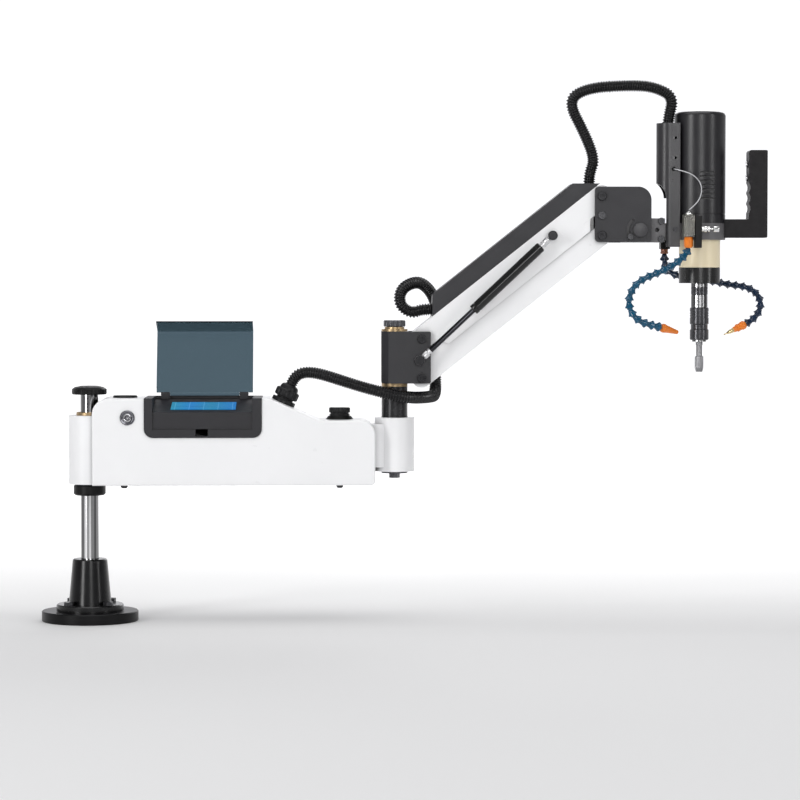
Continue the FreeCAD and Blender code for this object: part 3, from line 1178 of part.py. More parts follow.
def make_lower_beam():
    end = LOWER_FLOOR - 0.1
    head_end = LINK_LENGTH + LOWER_FLOOR
    foot = LOWER_RISE_START - LOWER_RISE_RUN
    beam = link_channel([
        (-LOWER_FLOOR, -LOWER_FLOOR, end), (head_end, -LOWER_FLOOR, end), (head_end, LOWER_FLOOR, end),
        (LINK_LENGTH - foot, LOWER_FLOOR, LINK_CORNER), (LINK_LENGTH - LOWER_RISE_START, LOWER_RISE, LINK_CORNER),
        (LOWER_RISE_START, LOWER_RISE, LINK_CORNER), (foot, LOWER_FLOOR, LINK_CORNER),
        (-LOWER_FLOOR, LOWER_FLOOR, end),
    ], LOWER_HALF_DEPTH, LINK_WALL - LOWER_FLOOR, (0.0, LINK_LENGTH))
    save("lower_beam", on_link(beam, LOWER_PIVOT))


# ==== balancing struts: a rod half and a cylinder half each ====


def strut_eye():
    """A flat eye with a web that carries the round neck clear of the pin's head."""
    half = STRUT_EYE_WIDTH / 2
    eye = rod_y(STRUT_EYE_RADIUS, -half, half, 0.0, 0.0)
    return eye.fuse(block(0.0, STRUT_NECK_START + 1.0, -half, half, -STRUT_NECK_RADIUS, STRUT_NECK_RADIUS))


def strut_rod():
    """Drawn along +X from its eye: eye, bright sleeve and rod."""
    rod = fuse_all([
        strut_eye(), rod_x(STRUT_NECK_RADIUS, STRUT_NECK_START, STRUT_NECK_END, 0.0, 0.0),
        rod_x(STRUT_ROD_RADIUS, STRUT_NECK_START, STRUT_ROD_LENGTH, 0.0, 0.0),
    ])
    return rod.cut(strut_bore())


def strut_bore():
    return rod_y(STRUT_PIN_RADIUS + RUNNING_FIT, -STRUT_EYE_WIDTH, STRUT_EYE_WIDTH, 0.0, 0.0)


def strut_cylinder():
    """Drawn along +X from its eye: eye, neck and a cylinder open at its far end."""
    far = STRUT_BODY_START + STRUT_BODY_LENGTH
    cylinder = fuse_all([
        strut_eye(), rod_x(STRUT_NECK_RADIUS, STRUT_NECK_START, STRUT_BODY_START + 1.0, 0.0, 0.0),
        rod_x(STRUT_BODY_RADIUS, STRUT_BODY_START, far, 0.0, 0.0),
    ])
    cylinder = cylinder.cut(rod_x(STRUT_BORE_RADIUS, STRUT_BODY_START + STRUT_CAP, far + 1.0, 0.0, 0.0))
    return cylinder.cut(strut_bore())


def on_strut(shape, foot, head, depth):
    """Carry a strut half from the origin to its pin, pointing at the other pin."""
    way = head - foot
    slope = math.degrees(math.atan2(way.z, way.x))
    shape.Placement = FreeCAD.Placement(foot + Vec(0, depth, 0), FreeCAD.Rotation(Vec(0, 1, 0), -slope))
    return shape


def make_struts():
    save("strut_rod_front", on_strut(strut_rod(), STRUT_LOW, STRUT_HIGH, -STRUT_OUTBOARD))
    save("strut_cylinder_front", on_strut(strut_cylinder(), STRUT_HIGH, STRUT_LOW, -STRUT_OUTBOARD))
    save("strut_cylinder_inner", on_strut(strut_cylinder(), STRUT_LOW, STRUT_HIGH, 0.0))
    save("strut_rod_inner", on_strut(strut_rod(), STRUT_HIGH, STRUT_LOW, 0.0))


# ==== head bracket ====

PLATE_INNER = UPPER_HALF_DEPTH + PLATE_GAP
PLATE_OUTER = PLATE_INNER + PLATE_THICK
TONGUE_HALF_DEPTH = PLATE_INNER - TONGUE_GAP


def tilt_slot_point(radius, degrees):
    angle = math.radians(degrees)
    return Vec(TILT_PIVOT.x + radius * math.cos(angle), 0, TILT_PIVOT.z + radius * math.sin(angle))


def tilt_slot():
    """The arc slot about the tilt pivot, drawn as its four arcs and swept through both plates."""
    half = TILT_SLOT_WIDTH / 2
    middle = (TILT_SLOT_FROM + TILT_SLOT_TO) / 2
    cap = math.degrees(half / TILT_SLOT_RADIUS)
    inner = TILT_SLOT_RADIUS - half
    outer = TILT_SLOT_RADIUS + half
    first, last = TILT_SLOT_FROM, TILT_SLOT_TO
    edges = [
        Part.Arc(tilt_slot_point(outer, first), tilt_slot_point(outer, middle), tilt_slot_point(outer, last)),
        Part.Arc(tilt_slot_point(outer, last), tilt_slot_point(TILT_SLOT_RADIUS, last + cap),
                 tilt_slot_point(inner, last)),
        Part.Arc(tilt_slot_point(inner, last), tilt_slot_point(inner, middle), tilt_slot_point(inner, first)),
        Part.Arc(tilt_slot_point(inner, first), tilt_slot_point(TILT_SLOT_RADIUS, first - cap),
                 tilt_slot_point(outer, first)),
    ]
    face = Part.Face(Part.Wire([edge.toShape() for edge in edges]))
    face.translate(Vec(0, -PLATE_OUTER - 1.0, 0))
    return face.extrude(Vec(0, 2 * PLATE_OUTER + 2.0, 0))


def make_head_bracket():
    x = HEAD_LOWER.x
    z = HEAD_LOWER.z
    corners = [
        (x + PLATE_LEFT, z + PLATE_BOTTOM, PLATE_CORNER), (x + PLATE_RIGHT, z + PLATE_BOTTOM, PLATE_LOW_CORNER),
        (x + PLATE_RIGHT, z + PLATE_TOP, PLATE_TOP_CORNER), (x + PLATE_LEFT, z + PLATE_TOP, PLATE_CORNER),
    ]
    slot = tilt_slot()
    plates = []
    for front in (-PLATE_OUTER, PLATE_INNER):
        plate = side_plate(corners, front, front + PLATE_THICK)
        for pivot in (HEAD_UPPER, HEAD_LOWER):
            plate = plate.cut(rod_y(PIN_RADIUS + SCREW_FIT, front - 1.0, front + PLATE_THICK + 1.0,
                                    pivot.x, pivot.z))
        plate = plate.cut(rod_y(TILT_PIN_RADIUS + SCREW_FIT, front - 1.0, front + PLATE_THICK + 1.0,
                                TILT_PIVOT.x, TILT_PIVOT.z))
        plate = plate.cut(rod_y(PLATE_SCREW_RADIUS + SCREW_FIT, front - 1.0, front + PLATE_THICK + 1.0,
                                x, z + PLATE_SCREW_Z))
        plates.append(plate.cut(slot))
    save("bracket_plates", *plates)

    tilt_pin = fuse_all([
        rod_y(TILT_PIN_RADIUS, -PLATE_OUTER, PLATE_OUTER, TILT_PIVOT.x, TILT_PIVOT.z),
        rod_y(TILT_BOSS_RADIUS, -PLATE_OUTER - TILT_BOSS, -PLATE_OUTER, TILT_PIVOT.x, TILT_PIVOT.z),
        rod_y(TILT_BOSS_RADIUS, PLATE_OUTER, PLATE_OUTER + TILT_BOSS, TILT_PIVOT.x, TILT_PIVOT.z),
    ])
    save("bracket_pins", pivot_pin(HEAD_UPPER, PLATE_OUTER), pivot_pin(HEAD_LOWER, PLATE_OUTER), tilt_pin)

    screws = []
    for side in (-1.0, 1.0):
        head = slotted_head(PLATE_SCREW_HEAD_RADIUS, PLATE_SCREW_HEAD, PIN_KEY)
        head = point_solid(head, Vec(x, side * PLATE_OUTER, z + PLATE_SCREW_Z), Vec(0, side, 0))
        near, far = sorted((side * PLATE_INNER, side * PLATE_OUTER))
        screws.append(fuse_all([head, rod_y(PLATE_SCREW_RADIUS, near, far, x, z + PLATE_SCREW_Z)]))
    save("bracket_screws", *screws)


# ==== head carrier: tongue between the plates, block, neck and the ring on the motor ====

GUIDE_FRONT = DUCT_Y - DUCT_RADIUS


def make_carrier():
    x = TILT_PIVOT.x
    z = TILT_PIVOT.z
    half = TONGUE_HALF_DEPTH
    tongue = side_plate([
        (x + TONGUE_LEFT, z + CARRIER_LOW, CARRIER_CORNER), (x + CARRIER_BLOCK_RIGHT, z + CARRIER_LOW, 1.0),
        (x + CARRIER_BLOCK_RIGHT, z + CARRIER_HIGH, 1.0), (x + TONGUE_LEFT, z + CARRIER_HIGH, CARRIER_CORNER),
    ], -half, half)
    neck = block(x + CARRIER_BLOCK_RIGHT - 1.0, HEAD_X, -NECK_DEPTH, NECK_DEPTH, RING_BOTTOM, MOTOR_BOTTOM)
    ring = rod_z(MOTOR_RADIUS, RING_BOTTOM, MOTOR_BOTTOM, HEAD_X)
    pad = block(VALVE_RIGHT + FLAT_GAP, VALVE_BRACKET_RIGHT, VALVE_PAD_FRONT, -NECK_DEPTH, RING_BOTTOM, MOTOR_BOTTOM)
    carrier = fuse_all([tongue, neck, ring, pad])
    carrier = carrier.cut(rod_y(TILT_PIN_RADIUS + RUNNING_FIT, -half - 1.0, half + 1.0, x, z))
    carrier = carrier.cut(rod_y(CARRIER_HOLE_RADIUS, -half - 1.0, CARRIER_HOLE_DEPTH - half,
                                x + CARRIER_HOLE_X, z))
    screws = []
    bite = CARRIER_SCREW_BITE
    for height in CARRIER_SCREW_ZS:
        carrier = carrier.cut(rod_y(CARRIER_SCREW_RADIUS + SCREW_FIT, -half - 1.0, bite + 1.0 - half,
                                    x + CARRIER_SCREW_X, z + height))
        head = slotted_head(CARRIER_SCREW_HEAD_RADIUS, CARRIER_SCREW_HEAD, CARRIER_SCREW_KEY)
        head = point_solid(head, Vec(x + CARRIER_SCREW_X, -half, z + height), Vec(0, -1, 0))
        screws.append(fuse_all([
            head, rod_y(CARRIER_SCREW_RADIUS, -half, bite - half, x + CARRIER_SCREW_X, z + height)]))
    stop = tilt_slot_point(TILT_SLOT_RADIUS, TILT_SLOT_TO)
    for side in (-1.0, 1.0):
        near, far = sorted((side * (half - bite), side * (half + 1.0)))
        carrier = carrier.cut(rod_y(TILT_SCREW_RADIUS + SCREW_FIT, near, far, stop.x, stop.z))
        seat = PLATE_OUTER + FLAT_GAP
        head = slotted_head(TILT_SCREW_HEAD_RADIUS, TILT_SCREW_HEAD, CARRIER_SCREW_KEY)
        head = point_solid(head, Vec(stop.x, side * seat, stop.z), Vec(0, side, 0))
        near, far = sorted((side * (half - bite + 1.0), side * seat))
        screws.append(fuse_all([head, rod_y(TILT_SCREW_RADIUS, near, far, stop.x, stop.z)]))
    carrier = carrier.cut(rod_y(GUIDE_SCREW_RADIUS + SCREW_FIT, -NECK_DEPTH - 1.0, bite + 1.0 - NECK_DEPTH,
                                GUIDE_HOLE_X, GUIDE_SCREW_Z))
    guide_head = slotted_head(GUIDE_SCREW_HEAD_RADIUS, GUIDE_SCREW_HEAD, GUIDE_SCREW_KEY)
    guide_head = point_solid(guide_head, Vec(GUIDE_HOLE_X, GUIDE_FRONT, GUIDE_SCREW_Z), Vec(0, -1, 0))
    screws.append(fuse_all([
        guide_head, rod_y(GUIDE_SCREW_RADIUS, GUIDE_FRONT, bite - NECK_DEPTH, GUIDE_HOLE_X, GUIDE_SCREW_Z)]))
    save("head_carrier", carrier)
    save("carrier_screws", *screws)


def make_guide():
    """The cable guide: a half-round duct beside the motor that narrows to a flat strip in an
    S-curve; its top is closed by a plate that the conduit seats on."""
    radius = DUCT_RADIUS
    back = DUCT_Y + radius
    left = Vec(DUCT_X - radius, DUCT_Y, GUIDE_BOTTOM)
    front_start = Vec(DUCT_X, GUIDE_FRONT, GUIDE_BOTTOM)
    back_start = Vec(DUCT_X, back, GUIDE_BOTTOM)
    front_end = Vec(GUIDE_RIGHT, GUIDE_FRONT, GUIDE_BOTTOM)
    back_end = Vec(GUIDE_BACK_RIGHT, back, GUIDE_BOTTOM)
    wall = GUIDE_WALL
    inner_left = left + Vec(wall, 0, 0)
    path = Part.Wire([
        Part.LineSegment(front_end, front_start).toShape(), Part.Arc(front_start, left, back_start).toShape(),
        Part.LineSegment(back_start, back_end).toShape(),
        Part.LineSegment(back_end, back_end - Vec(0, wall, 0)).toShape(),
        Part.LineSegment(back_end - Vec(0, wall, 0), back_start - Vec(0, wall, 0)).toShape(),
        Part.Arc(back_start - Vec(0, wall, 0), inner_left, front_start + Vec(0, wall, 0)).toShape(),
        Part.LineSegment(front_start + Vec(0, wall, 0), front_end + Vec(0, wall, 0)).toShape(),
        Part.LineSegment(front_end + Vec(0, wall, 0), front_end).toShape(),
    ])
    guide = Part.Face(path).extrude(Vec(0, 0, GUIDE_TOP - GUIDE_BOTTOM))
    bend = GUIDE_DUCT_BOTTOM - GUIDE_CURVE_BOTTOM
    lower_left = GUIDE_STRIP - bend - 1.0
    away = side_plate([
        (lower_left, GUIDE_BOTTOM - 1.0, 0.0), (GUIDE_STRIP, GUIDE_BOTTOM - 1.0, 0.0),
        (GUIDE_STRIP, GUIDE_DUCT_BOTTOM, bend), (lower_left, GUIDE_DUCT_BOTTOM, 0.0),
    ], GUIDE_FRONT - 1.0, back + 1.0)
    rear = block(lower_left, GUIDE_RIGHT + 1.0, GUIDE_FRONT + wall, back + 1.0,
                 GUIDE_BOTTOM - 1.0, GUIDE_CURVE_BOTTOM)
    guide = guide.cut(away).cut(rear)
    lid = rod_z(radius - wall + 0.5, GUIDE_CAP_TOP - wall, GUIDE_CAP_TOP, DUCT_X, DUCT_Y)
    lid = lid.common(block(lower_left, GUIDE_BACK_RIGHT, GUIDE_FRONT, back, GUIDE_BOTTOM, GUIDE_TOP))
    guide = fuse_all([guide, lid])
    for height in GUIDE_HOLES_Z:
        guide = guide.cut(rod_y(GUIDE_HOLE_RADIUS, GUIDE_FRONT - 1.0, GUIDE_FRONT + wall + 1.0,
                                GUIDE_HOLE_X, height))
    guide = guide.cut(rod_y(GUIDE_SCREW_RADIUS + SCREW_FIT, GUIDE_FRONT - 1.0, GUIDE_FRONT + wall + 1.0,
                            GUIDE_HOLE_X, GUIDE_SCREW_Z))
    save("cable_guide", guide)


# ==== tapping head ====


def make_head():
    seam = MOTOR_SEAM_Z
    depth = MOTOR_RADIUS - MOTOR_SEAM_DEPTH
    motor = turned([
        (0, MOTOR_BOTTOM), (MOTOR_RADIUS, MOTOR_BOTTOM), (MOTOR_RADIUS, seam), (depth, seam),
        (depth, seam + MOTOR_SEAM), (MOTOR_RADIUS, seam + MOTOR_SEAM), (MOTOR_RADIUS, MOTOR_TOP), (0, MOTOR_TOP),
    ], HEAD_X)
    motor = motor.makeFillet(MOTOR_ROUND, edges_where(
        motor, lambda e: e.BoundBox.ZMin > MOTOR_TOP - 0.1 and len(e.Vertexes) == 1))
    for i in range(VENT_ROWS):
        top = VENT_TOP_Z - VENT_PITCH * i
        motor = motor.cut(block(VENT_LEFT, VENT_LEFT + VENT_LENGTH, -MOTOR_RADIUS - 1.0, -VENT_DEPTH,
                                top - VENT_HEIGHT, top))
    save("motor_housing", motor)

    save("gearbox", rod_z(GEARBOX_RADIUS, GEARBOX_BOTTOM, RING_BOTTOM, HEAD_X))
    bore = SPINDLE_RADIUS + RUNNING_FIT
    save("gearbox_nose", turned([
        (bore, NOSE_BOTTOM + NOSE_RECESS), (NOSE_RECESS_RADIUS, NOSE_BOTTOM + NOSE_RECESS),
        (NOSE_RECESS_RADIUS, NOSE_BOTTOM), (GEARBOX_RADIUS, NOSE_BOTTOM), (GEARBOX_RADIUS, GEARBOX_BOTTOM),
        (bore, GEARBOX_BOTTOM),
    ], HEAD_X))


def make_spindle():
    groove = SLEEVE_RADIUS - SLEEVE_GROOVE_DEPTH
    spindle = turned([
        (0, CORE_BOTTOM), (CORE_RADIUS, CORE_BOTTOM), (CORE_RADIUS, SLEEVE_BOTTOM),
        (SLEEVE_RADIUS, SLEEVE_BOTTOM), (SLEEVE_RADIUS, SLEEVE_GROOVE_BOTTOM), (groove, SLEEVE_GROOVE_BOTTOM),
        (groove, SLEEVE_GROOVE_TOP), (SLEEVE_RADIUS, SLEEVE_GROOVE_TOP), (SLEEVE_RADIUS, SLEEVE_TOP),
        (SPINDLE_RADIUS, SLEEVE_TOP), (SPINDLE_RADIUS, SPINDLE_TOP), (0, SPINDLE_TOP),
    ], HEAD_X)
    spindle = spindle.cut(rod_z(TAP_SHANK_RADIUS + SCREW_FIT, CORE_BOTTOM - 1.0, TAP_SHANK_TOP + 1.0, HEAD_X))
    save("spindle", spindle)

    chuck_top = SLEEVE_BOTTOM - CHUCK_GAP
    profile = [
        (CORE_RADIUS + RUNNING_FIT, CHUCK_BOTTOM), (CHUCK_RADIUS - CHUCK_CHAMFER, CHUCK_BOTTOM),
        (CHUCK_RADIUS, CHUCK_BOTTOM + CHUCK_CHAMFER), (CHUCK_RADIUS, CHUCK_WAIST_BOTTOM - CHUCK_CHAMFER),
        (CHUCK_WAIST_RADIUS, CHUCK_WAIST_BOTTOM), (CHUCK_WAIST_RADIUS, CHUCK_WAIST_TOP),
        (CHUCK_RADIUS, CHUCK_WAIST_TOP + CHUCK_CHAMFER), (CHUCK_RADIUS, chuck_top - CHUCK_CHAMFER),
        (CHUCK_RADIUS - CHUCK_CHAMFER, chuck_top), (CORE_RADIUS + RUNNING_FIT, chuck_top),
    ]
    chuck = turned(profile, HEAD_X)
    for i in range(CHUCK_GROOVES):
        top = CHUCK_GROOVE_TOP - CHUCK_GROOVE_PITCH * i
        low = top - CHUCK_GROOVE_WIDTH
        inner = CHUCK_RADIUS - CHUCK_GROOVE_DEPTH
        chuck = chuck.cut(turned([(inner, low), (CHUCK_RADIUS + 1.0, low), (CHUCK_RADIUS + 1.0, top),
                                  (inner, top)], HEAD_X))
    save("quick_change_collar", chuck)

    tap = turned([
        (0, TAP_BOTTOM), (TAP_TIP_RADIUS, TAP_BOTTOM), (TAP_THREAD_RADIUS, TAP_BOTTOM + TAP_LEAD),
        (TAP_THREAD_RADIUS, TAP_THREAD_TOP), (TAP_NECK_RADIUS, TAP_THREAD_TOP + 1.0),
        (TAP_NECK_RADIUS, TAP_NECK_TOP), (TAP_SHANK_RADIUS, TAP_NECK_TOP + 1.0),
        (TAP_SHANK_RADIUS, TAP_SHANK_TOP), (0, TAP_SHANK_TOP),
    ], HEAD_X)
    for x, y in on_circle(TAP_FLUTE_PLACE, TAP_FLUTES, 90.0):
        tap = tap.cut(rod_z(TAP_FLUTE_RADIUS, TAP_BOTTOM - 1.0, TAP_THREAD_TOP + 1.0, HEAD_X + x, y))
    save("tap", tap)


def make_handle():
    left = HEAD_X
    grip = side_plate([
        (left, HANDLE_BAR_BOTTOM, 0.0), (HANDLE_RIGHT, HANDLE_BAR_BOTTOM, HANDLE_OUTER_CORNER),
        (HANDLE_RIGHT, HANDLE_TOP, HANDLE_OUTER_CORNER), (HANDLE_GRIP_LEFT, HANDLE_TOP, HANDLE_TIP_CORNER),
        (HANDLE_GRIP_LEFT, HANDLE_BAR_TOP, HANDLE_INNER_CORNER), (left, HANDLE_BAR_TOP, 0.0),
    ], -HANDLE_HALF_DEPTH, HANDLE_HALF_DEPTH)
    grip = grip.makeFillet(HANDLE_ROUND, edges_where(
        grip, lambda e: e.BoundBox.YLength < 1e-3 and e.BoundBox.XMax > left + 1.0))
    grip = grip.cut(rod_z(MOTOR_RADIUS + FLAT_GAP, HANDLE_BAR_BOTTOM - 1.0, HANDLE_BAR_TOP + 1.0, HEAD_X))
    for i in range(HANDLE_WAVES):
        centre = HANDLE_GRIP_LEFT + HANDLE_WAVE_DEPTH - HANDLE_WAVE_RADIUS
        grip = grip.cut(rod_y(HANDLE_WAVE_RADIUS, -HANDLE_HALF_DEPTH - 1.0, HANDLE_HALF_DEPTH + 1.0,
                              centre, HANDLE_WAVE_START + HANDLE_WAVE_PITCH * i))
    pocket = GRIP_BUTTON_LENGTH - GRIP_BUTTON_PROUD + GRIP_BUTTON_TRAVEL + FLAT_GAP
    for height, name in zip(GRIP_BUTTON_ZS, ("grip_button_upper", "grip_button_lower")):
        grip = grip.cut(rod_x(GRIP_BUTTON_RADIUS + RUNNING_FIT, HANDLE_GRIP_LEFT - 1.0,
                              HANDLE_GRIP_LEFT + pocket, 0.0, height))
        button = rod_x(GRIP_BUTTON_RADIUS, HANDLE_GRIP_LEFT - GRIP_BUTTON_PROUD,
                       HANDLE_GRIP_LEFT - GRIP_BUTTON_PROUD + GRIP_BUTTON_LENGTH, 0.0, height)
        button = button.makeFillet(1.5, edges_where(
            button, lambda e: e.BoundBox.XMax < HANDLE_GRIP_LEFT and len(e.Vertexes) == 1))
        save(name, button)
    save("handle", grip)


# ==== coolant valve, fittings and segmented hoses ====

VALVE_X = (VALVE_LEFT + VALVE_RIGHT) / 2
VALVE_Y = (VALVE_FRONT + VALVE_BACK) / 2


def make_valve():
    bracket = block(VALVE_RIGHT + FLAT_GAP, VALVE_BRACKET_RIGHT, VALVE_BRACKET_FRONT, VALVE_PAD_FRONT - FLAT_GAP,
                    VALVE_BRACKET_BOTTOM, VALVE_BRACKET_TOP)
    save("valve_bracket", bracket.makeChamfer(1.0, edges_where(
        bracket, lambda e: e.BoundBox.YMax < VALVE_BRACKET_FRONT + 0.1)))

    body = block(VALVE_LEFT, VALVE_RIGHT, VALVE_FRONT, VALVE_BACK, VALVE_BOTTOM, VALVE_TOP)
    nut = hexagon(VALVE_NUT_FLATS, VALVE_TOP, VALVE_TOP + VALVE_NUT, VALVE_X, VALVE_Y)
    needle = []
    start = VALVE_BRACKET_RIGHT + FLAT_GAP
    for radius, length in zip(VALVE_NEEDLE[0::2], VALVE_NEEDLE[1::2]):
        needle.append(rod_x(radius, start, start + length, VALVE_Y, VALVE_NEEDLE_Z))
        start += length
    save("coolant_valve", fuse_all([body, nut]), fuse_all(needle))

    rear_left = TILT_PIVOT.x + CARRIER_BLOCK_RIGHT + FLAT_GAP
    save("rear_fitting", block(rear_left, REAR_BLOCK_RIGHT, NECK_DEPTH + FLAT_GAP, REAR_BLOCK_BACK,
                               REAR_BLOCK_BOTTOM, REAR_BLOCK_TOP))
    rear_x, rear_y, rear_z = RIGHT_HOSE[0]
    coupling = rod_z(REAR_COUPLING_RADIUS, REAR_BLOCK_BOTTOM - REAR_COUPLING, REAR_BLOCK_BOTTOM, rear_x, rear_y)
    nut_bottom = VALVE_BOTTOM - ORANGE_NUT
    orange = turned([
        (0, nut_bottom), (ORANGE_NUT_RADIUS - 2.0, nut_bottom), (ORANGE_NUT_RADIUS, nut_bottom + 3.0),
        (ORANGE_NUT_RADIUS, VALVE_BOTTOM - 1.0), (ORANGE_NUT_RADIUS - 1.0, VALVE_BOTTOM), (0, VALVE_BOTTOM),
    ], VALVE_X, VALVE_Y)
    nozzles = [orange, coupling]
    for route, tip in ((LEFT_HOSE, LEFT_NOZZLE_TIP), (RIGHT_HOSE, RIGHT_NOZZLE_TIP)):
        gap = HOSE_TOUCH / (Vec(*tip) - Vec(*route[-1])).Length
        nozzles.append(ringed_solid(Vec(*route[-1]), Vec(*tip), (
            (gap, HOSE_TIP_RADIUS), (0.22, NOZZLE_RADIUS), (0.55, NOZZLE_RADIUS), (1.0, NOZZLE_TIP_RADIUS))))
    save("hose_nozzles", *nozzles)


def ringed_solid(start, finish, rings):
    """A flat-faced body of revolution from start to finish: rings are (share of the way, radius)."""
    way = finish - start
    turn = FreeCAD.Rotation(Vec(0, 0, 1), way)
    loops = []
    for share, radius in rings:
        loop = []
        for i in range(HOSE_SIDES):
            angle = 2 * math.pi * i / HOSE_SIDES
            offset = Vec(radius * math.cos(angle), radius * math.sin(angle), way.Length * share)
            loop.append(start + turn.multVec(offset))
        loops.append(loop)
    faces = [Part.Face(Part.makePolygon(loop + loop[:1])) for loop in (loops[0], loops[-1])]
    for low, high in zip(loops, loops[1:]):
        for i in range(HOSE_SIDES):
            j = (i + 1) % HOSE_SIDES
            faces.append(Part.Face(Part.makePolygon([low[i], low[j], high[j], high[i], low[i]])))
    solid = Part.Solid(Part.Shell(faces))
    if solid.Volume < 0:
        solid.reverse()
    return solid


def make_hoses():
    """Ball-jointed hose links, one solid each, touching at their necks."""
    low, high = HOSE_SWELL
    for name, route in (("coolant_hose_left", LEFT_HOSE), ("coolant_hose_right", RIGHT_HOSE)):
        links = []
        for start, finish in zip(route, route[1:]):
            start = Vec(*start)
            finish = Vec(*finish)
            gap = HOSE_TOUCH / (finish - start).Length
            links.append(ringed_solid(start, finish, (
                (gap, HOSE_TIP_RADIUS), (low, HOSE_RADIUS), (high, HOSE_RADIUS), (1.0 - gap, HOSE_TIP_RADIUS))))
        save(name, *links)


# ==== conduits and signal lead ====


def route_tube(name, points, radius):
    """A round tube along straight runs joined by tangent arcs."""
    points = [Vec(*p) for p in points]
    edges = []
    start = points[0]
    length = 0.0
    radii = []
    for before, corner, after in zip(points, points[1:], points[2:]):
        back = (before - corner).normalize()
        ahead = (after - corner).normalize()
        half_turn = (math.pi - back.getAngle(ahead)) / 2
        reach = ARC_SHARE * min((before - corner).Length, (after - corner).Length)
        arc_radius = reach / math.tan(half_turn)
        inward = (back + ahead).normalize()
        middle = corner + inward * (arc_radius / math.cos(half_turn) - arc_radius)
        enter = corner + back * reach
        leave = corner + ahead * reach
        edges.append(Part.LineSegment(start, enter).toShape())
        edges.append(Part.Arc(enter, middle, leave).toShape())
        length += (enter - start).Length + 2 * half_turn * arc_radius
        radii.append(round(arc_radius, 1))
        start = leave
    edges.append(Part.LineSegment(start, points[-1]).toShape())
    length += (points[-1] - start).Length
    path = Part.Wire(edges)
    section = Part.Wire(Part.makeCircle(radius, points[0], points[1] - points[0]))
    tube = path.makePipeShell([section], True, False)
    print(name, "radii", radii, "volume ratio", round(tube.Volume / (math.pi * radius ** 2 * length), 4))
    save(name, tube)


def make_conduits():
    mouth = gland_mouth() + SLOPE_NORMAL * FLAT_GAP
    rise = mouth + SLOPE_NORMAL * GLAND_RUN
    route_tube("conduit_lower_a", (tuple(mouth), tuple(rise)) + LOWER_CONDUIT_A + (LOWER_CONDUIT_SPLIT,),
               CONDUIT_RADIUS)
    cover_face = UPPER_PIVOT + ALONG * COVER_START - Vec(ALONG.z, 0, -ALONG.x) * UPPER_TOP
    cover_mouth = (cover_face.x - FLAT_GAP, 0.0, LOWER_CONDUIT_B[-1][2])
    route_tube("conduit_lower_b", (LOWER_CONDUIT_SPLIT,) + LOWER_CONDUIT_B + (cover_mouth,), CONDUIT_RADIUS)
    head_face = UPPER_PIVOT + ALONG * COVER_HEAD_END - Vec(ALONG.z, 0, -ALONG.x) * (UPPER_TOP + COVER_HEIGHT)
    cover_top = (UPPER_CONDUIT_X, 0.0, head_face.z + FLAT_GAP)
    route_tube("conduit_upper_a", (cover_top,) + UPPER_CONDUIT_A + (UPPER_CONDUIT_SPLIT,), CONDUIT_RADIUS)
    duct_top = (UPPER_CONDUIT_B[-1][0], UPPER_CONDUIT_B[-1][1], GUIDE_CAP_TOP + FLAT_GAP)
    route_tube("conduit_upper_b", (UPPER_CONDUIT_SPLIT,) + UPPER_CONDUIT_B + (duct_top,), CONDUIT_RADIUS)
    route_tube("signal_lead", LEAD_ROUTE, LEAD_RADIUS)


if __name__ == "__main__":
    make_stand()
    make_collar()
    make_control_arm()
    make_display_housing()
    make_screen()
    make_lid()
    make_post()
    make_block()
    make_block_pins()
    make_upper_beam()
    make_cover()
    make_lower_beam()
    make_struts()
    make_head_bracket()
    make_carrier()
    make_guide()
    make_head()
    make_spindle()
    make_handle()
    make_valve()
    make_hoses()
    make_conduits()
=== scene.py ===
import math

import bpy
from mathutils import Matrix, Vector


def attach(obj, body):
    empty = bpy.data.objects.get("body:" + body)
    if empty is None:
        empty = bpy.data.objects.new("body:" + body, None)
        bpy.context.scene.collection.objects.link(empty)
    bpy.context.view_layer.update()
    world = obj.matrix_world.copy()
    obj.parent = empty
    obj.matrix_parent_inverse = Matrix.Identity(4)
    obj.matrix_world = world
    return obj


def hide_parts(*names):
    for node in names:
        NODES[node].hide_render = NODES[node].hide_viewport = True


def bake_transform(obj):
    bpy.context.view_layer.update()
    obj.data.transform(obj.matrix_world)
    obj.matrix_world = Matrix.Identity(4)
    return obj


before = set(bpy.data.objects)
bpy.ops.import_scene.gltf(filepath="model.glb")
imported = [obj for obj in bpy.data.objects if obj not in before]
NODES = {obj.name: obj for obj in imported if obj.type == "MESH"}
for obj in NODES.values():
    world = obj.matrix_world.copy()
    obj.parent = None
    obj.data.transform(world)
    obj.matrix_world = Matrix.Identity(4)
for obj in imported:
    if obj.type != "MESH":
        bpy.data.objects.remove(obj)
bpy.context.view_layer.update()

SCENE = bpy.context.scene

# Places and profiles of pieces are in millimetres, and MM turns them into metres.
# The camera, the room, the lamps and what materials measure are in metres.
MM = 0.001

CAMERA_PLACE = (0.420, -5.430, 0.617)
CAMERA_AIM = (0.564, 0.0, 0.401)
CAMERA_SENSOR = 36.0
CAMERA_LENS = 134.4


# ---- camera and nodes ----

def make_camera():
    """The view from the operator's side."""
    data = bpy.data.cameras.new("camera")
    camera = bpy.data.objects.new("camera", data)
    SCENE.collection.objects.link(camera)
    camera.location = CAMERA_PLACE
    aim = Vector(CAMERA_AIM) - camera.location
    camera.rotation_euler = aim.to_track_quat("-Z", "Y").to_euler()
    data.sensor_width = CAMERA_SENSOR
    data.lens = CAMERA_LENS
    SCENE.camera = camera


def node_box(name):
    """The low and high corners of a CAD node, in millimetres."""
    node = NODES[name]
    spots = [node.matrix_world @ Vector(corner) for corner in node.bound_box]
    return ([min(s[i] for s in spots) / MM for i in range(3)],
            [max(s[i] for s in spots) / MM for i in range(3)])


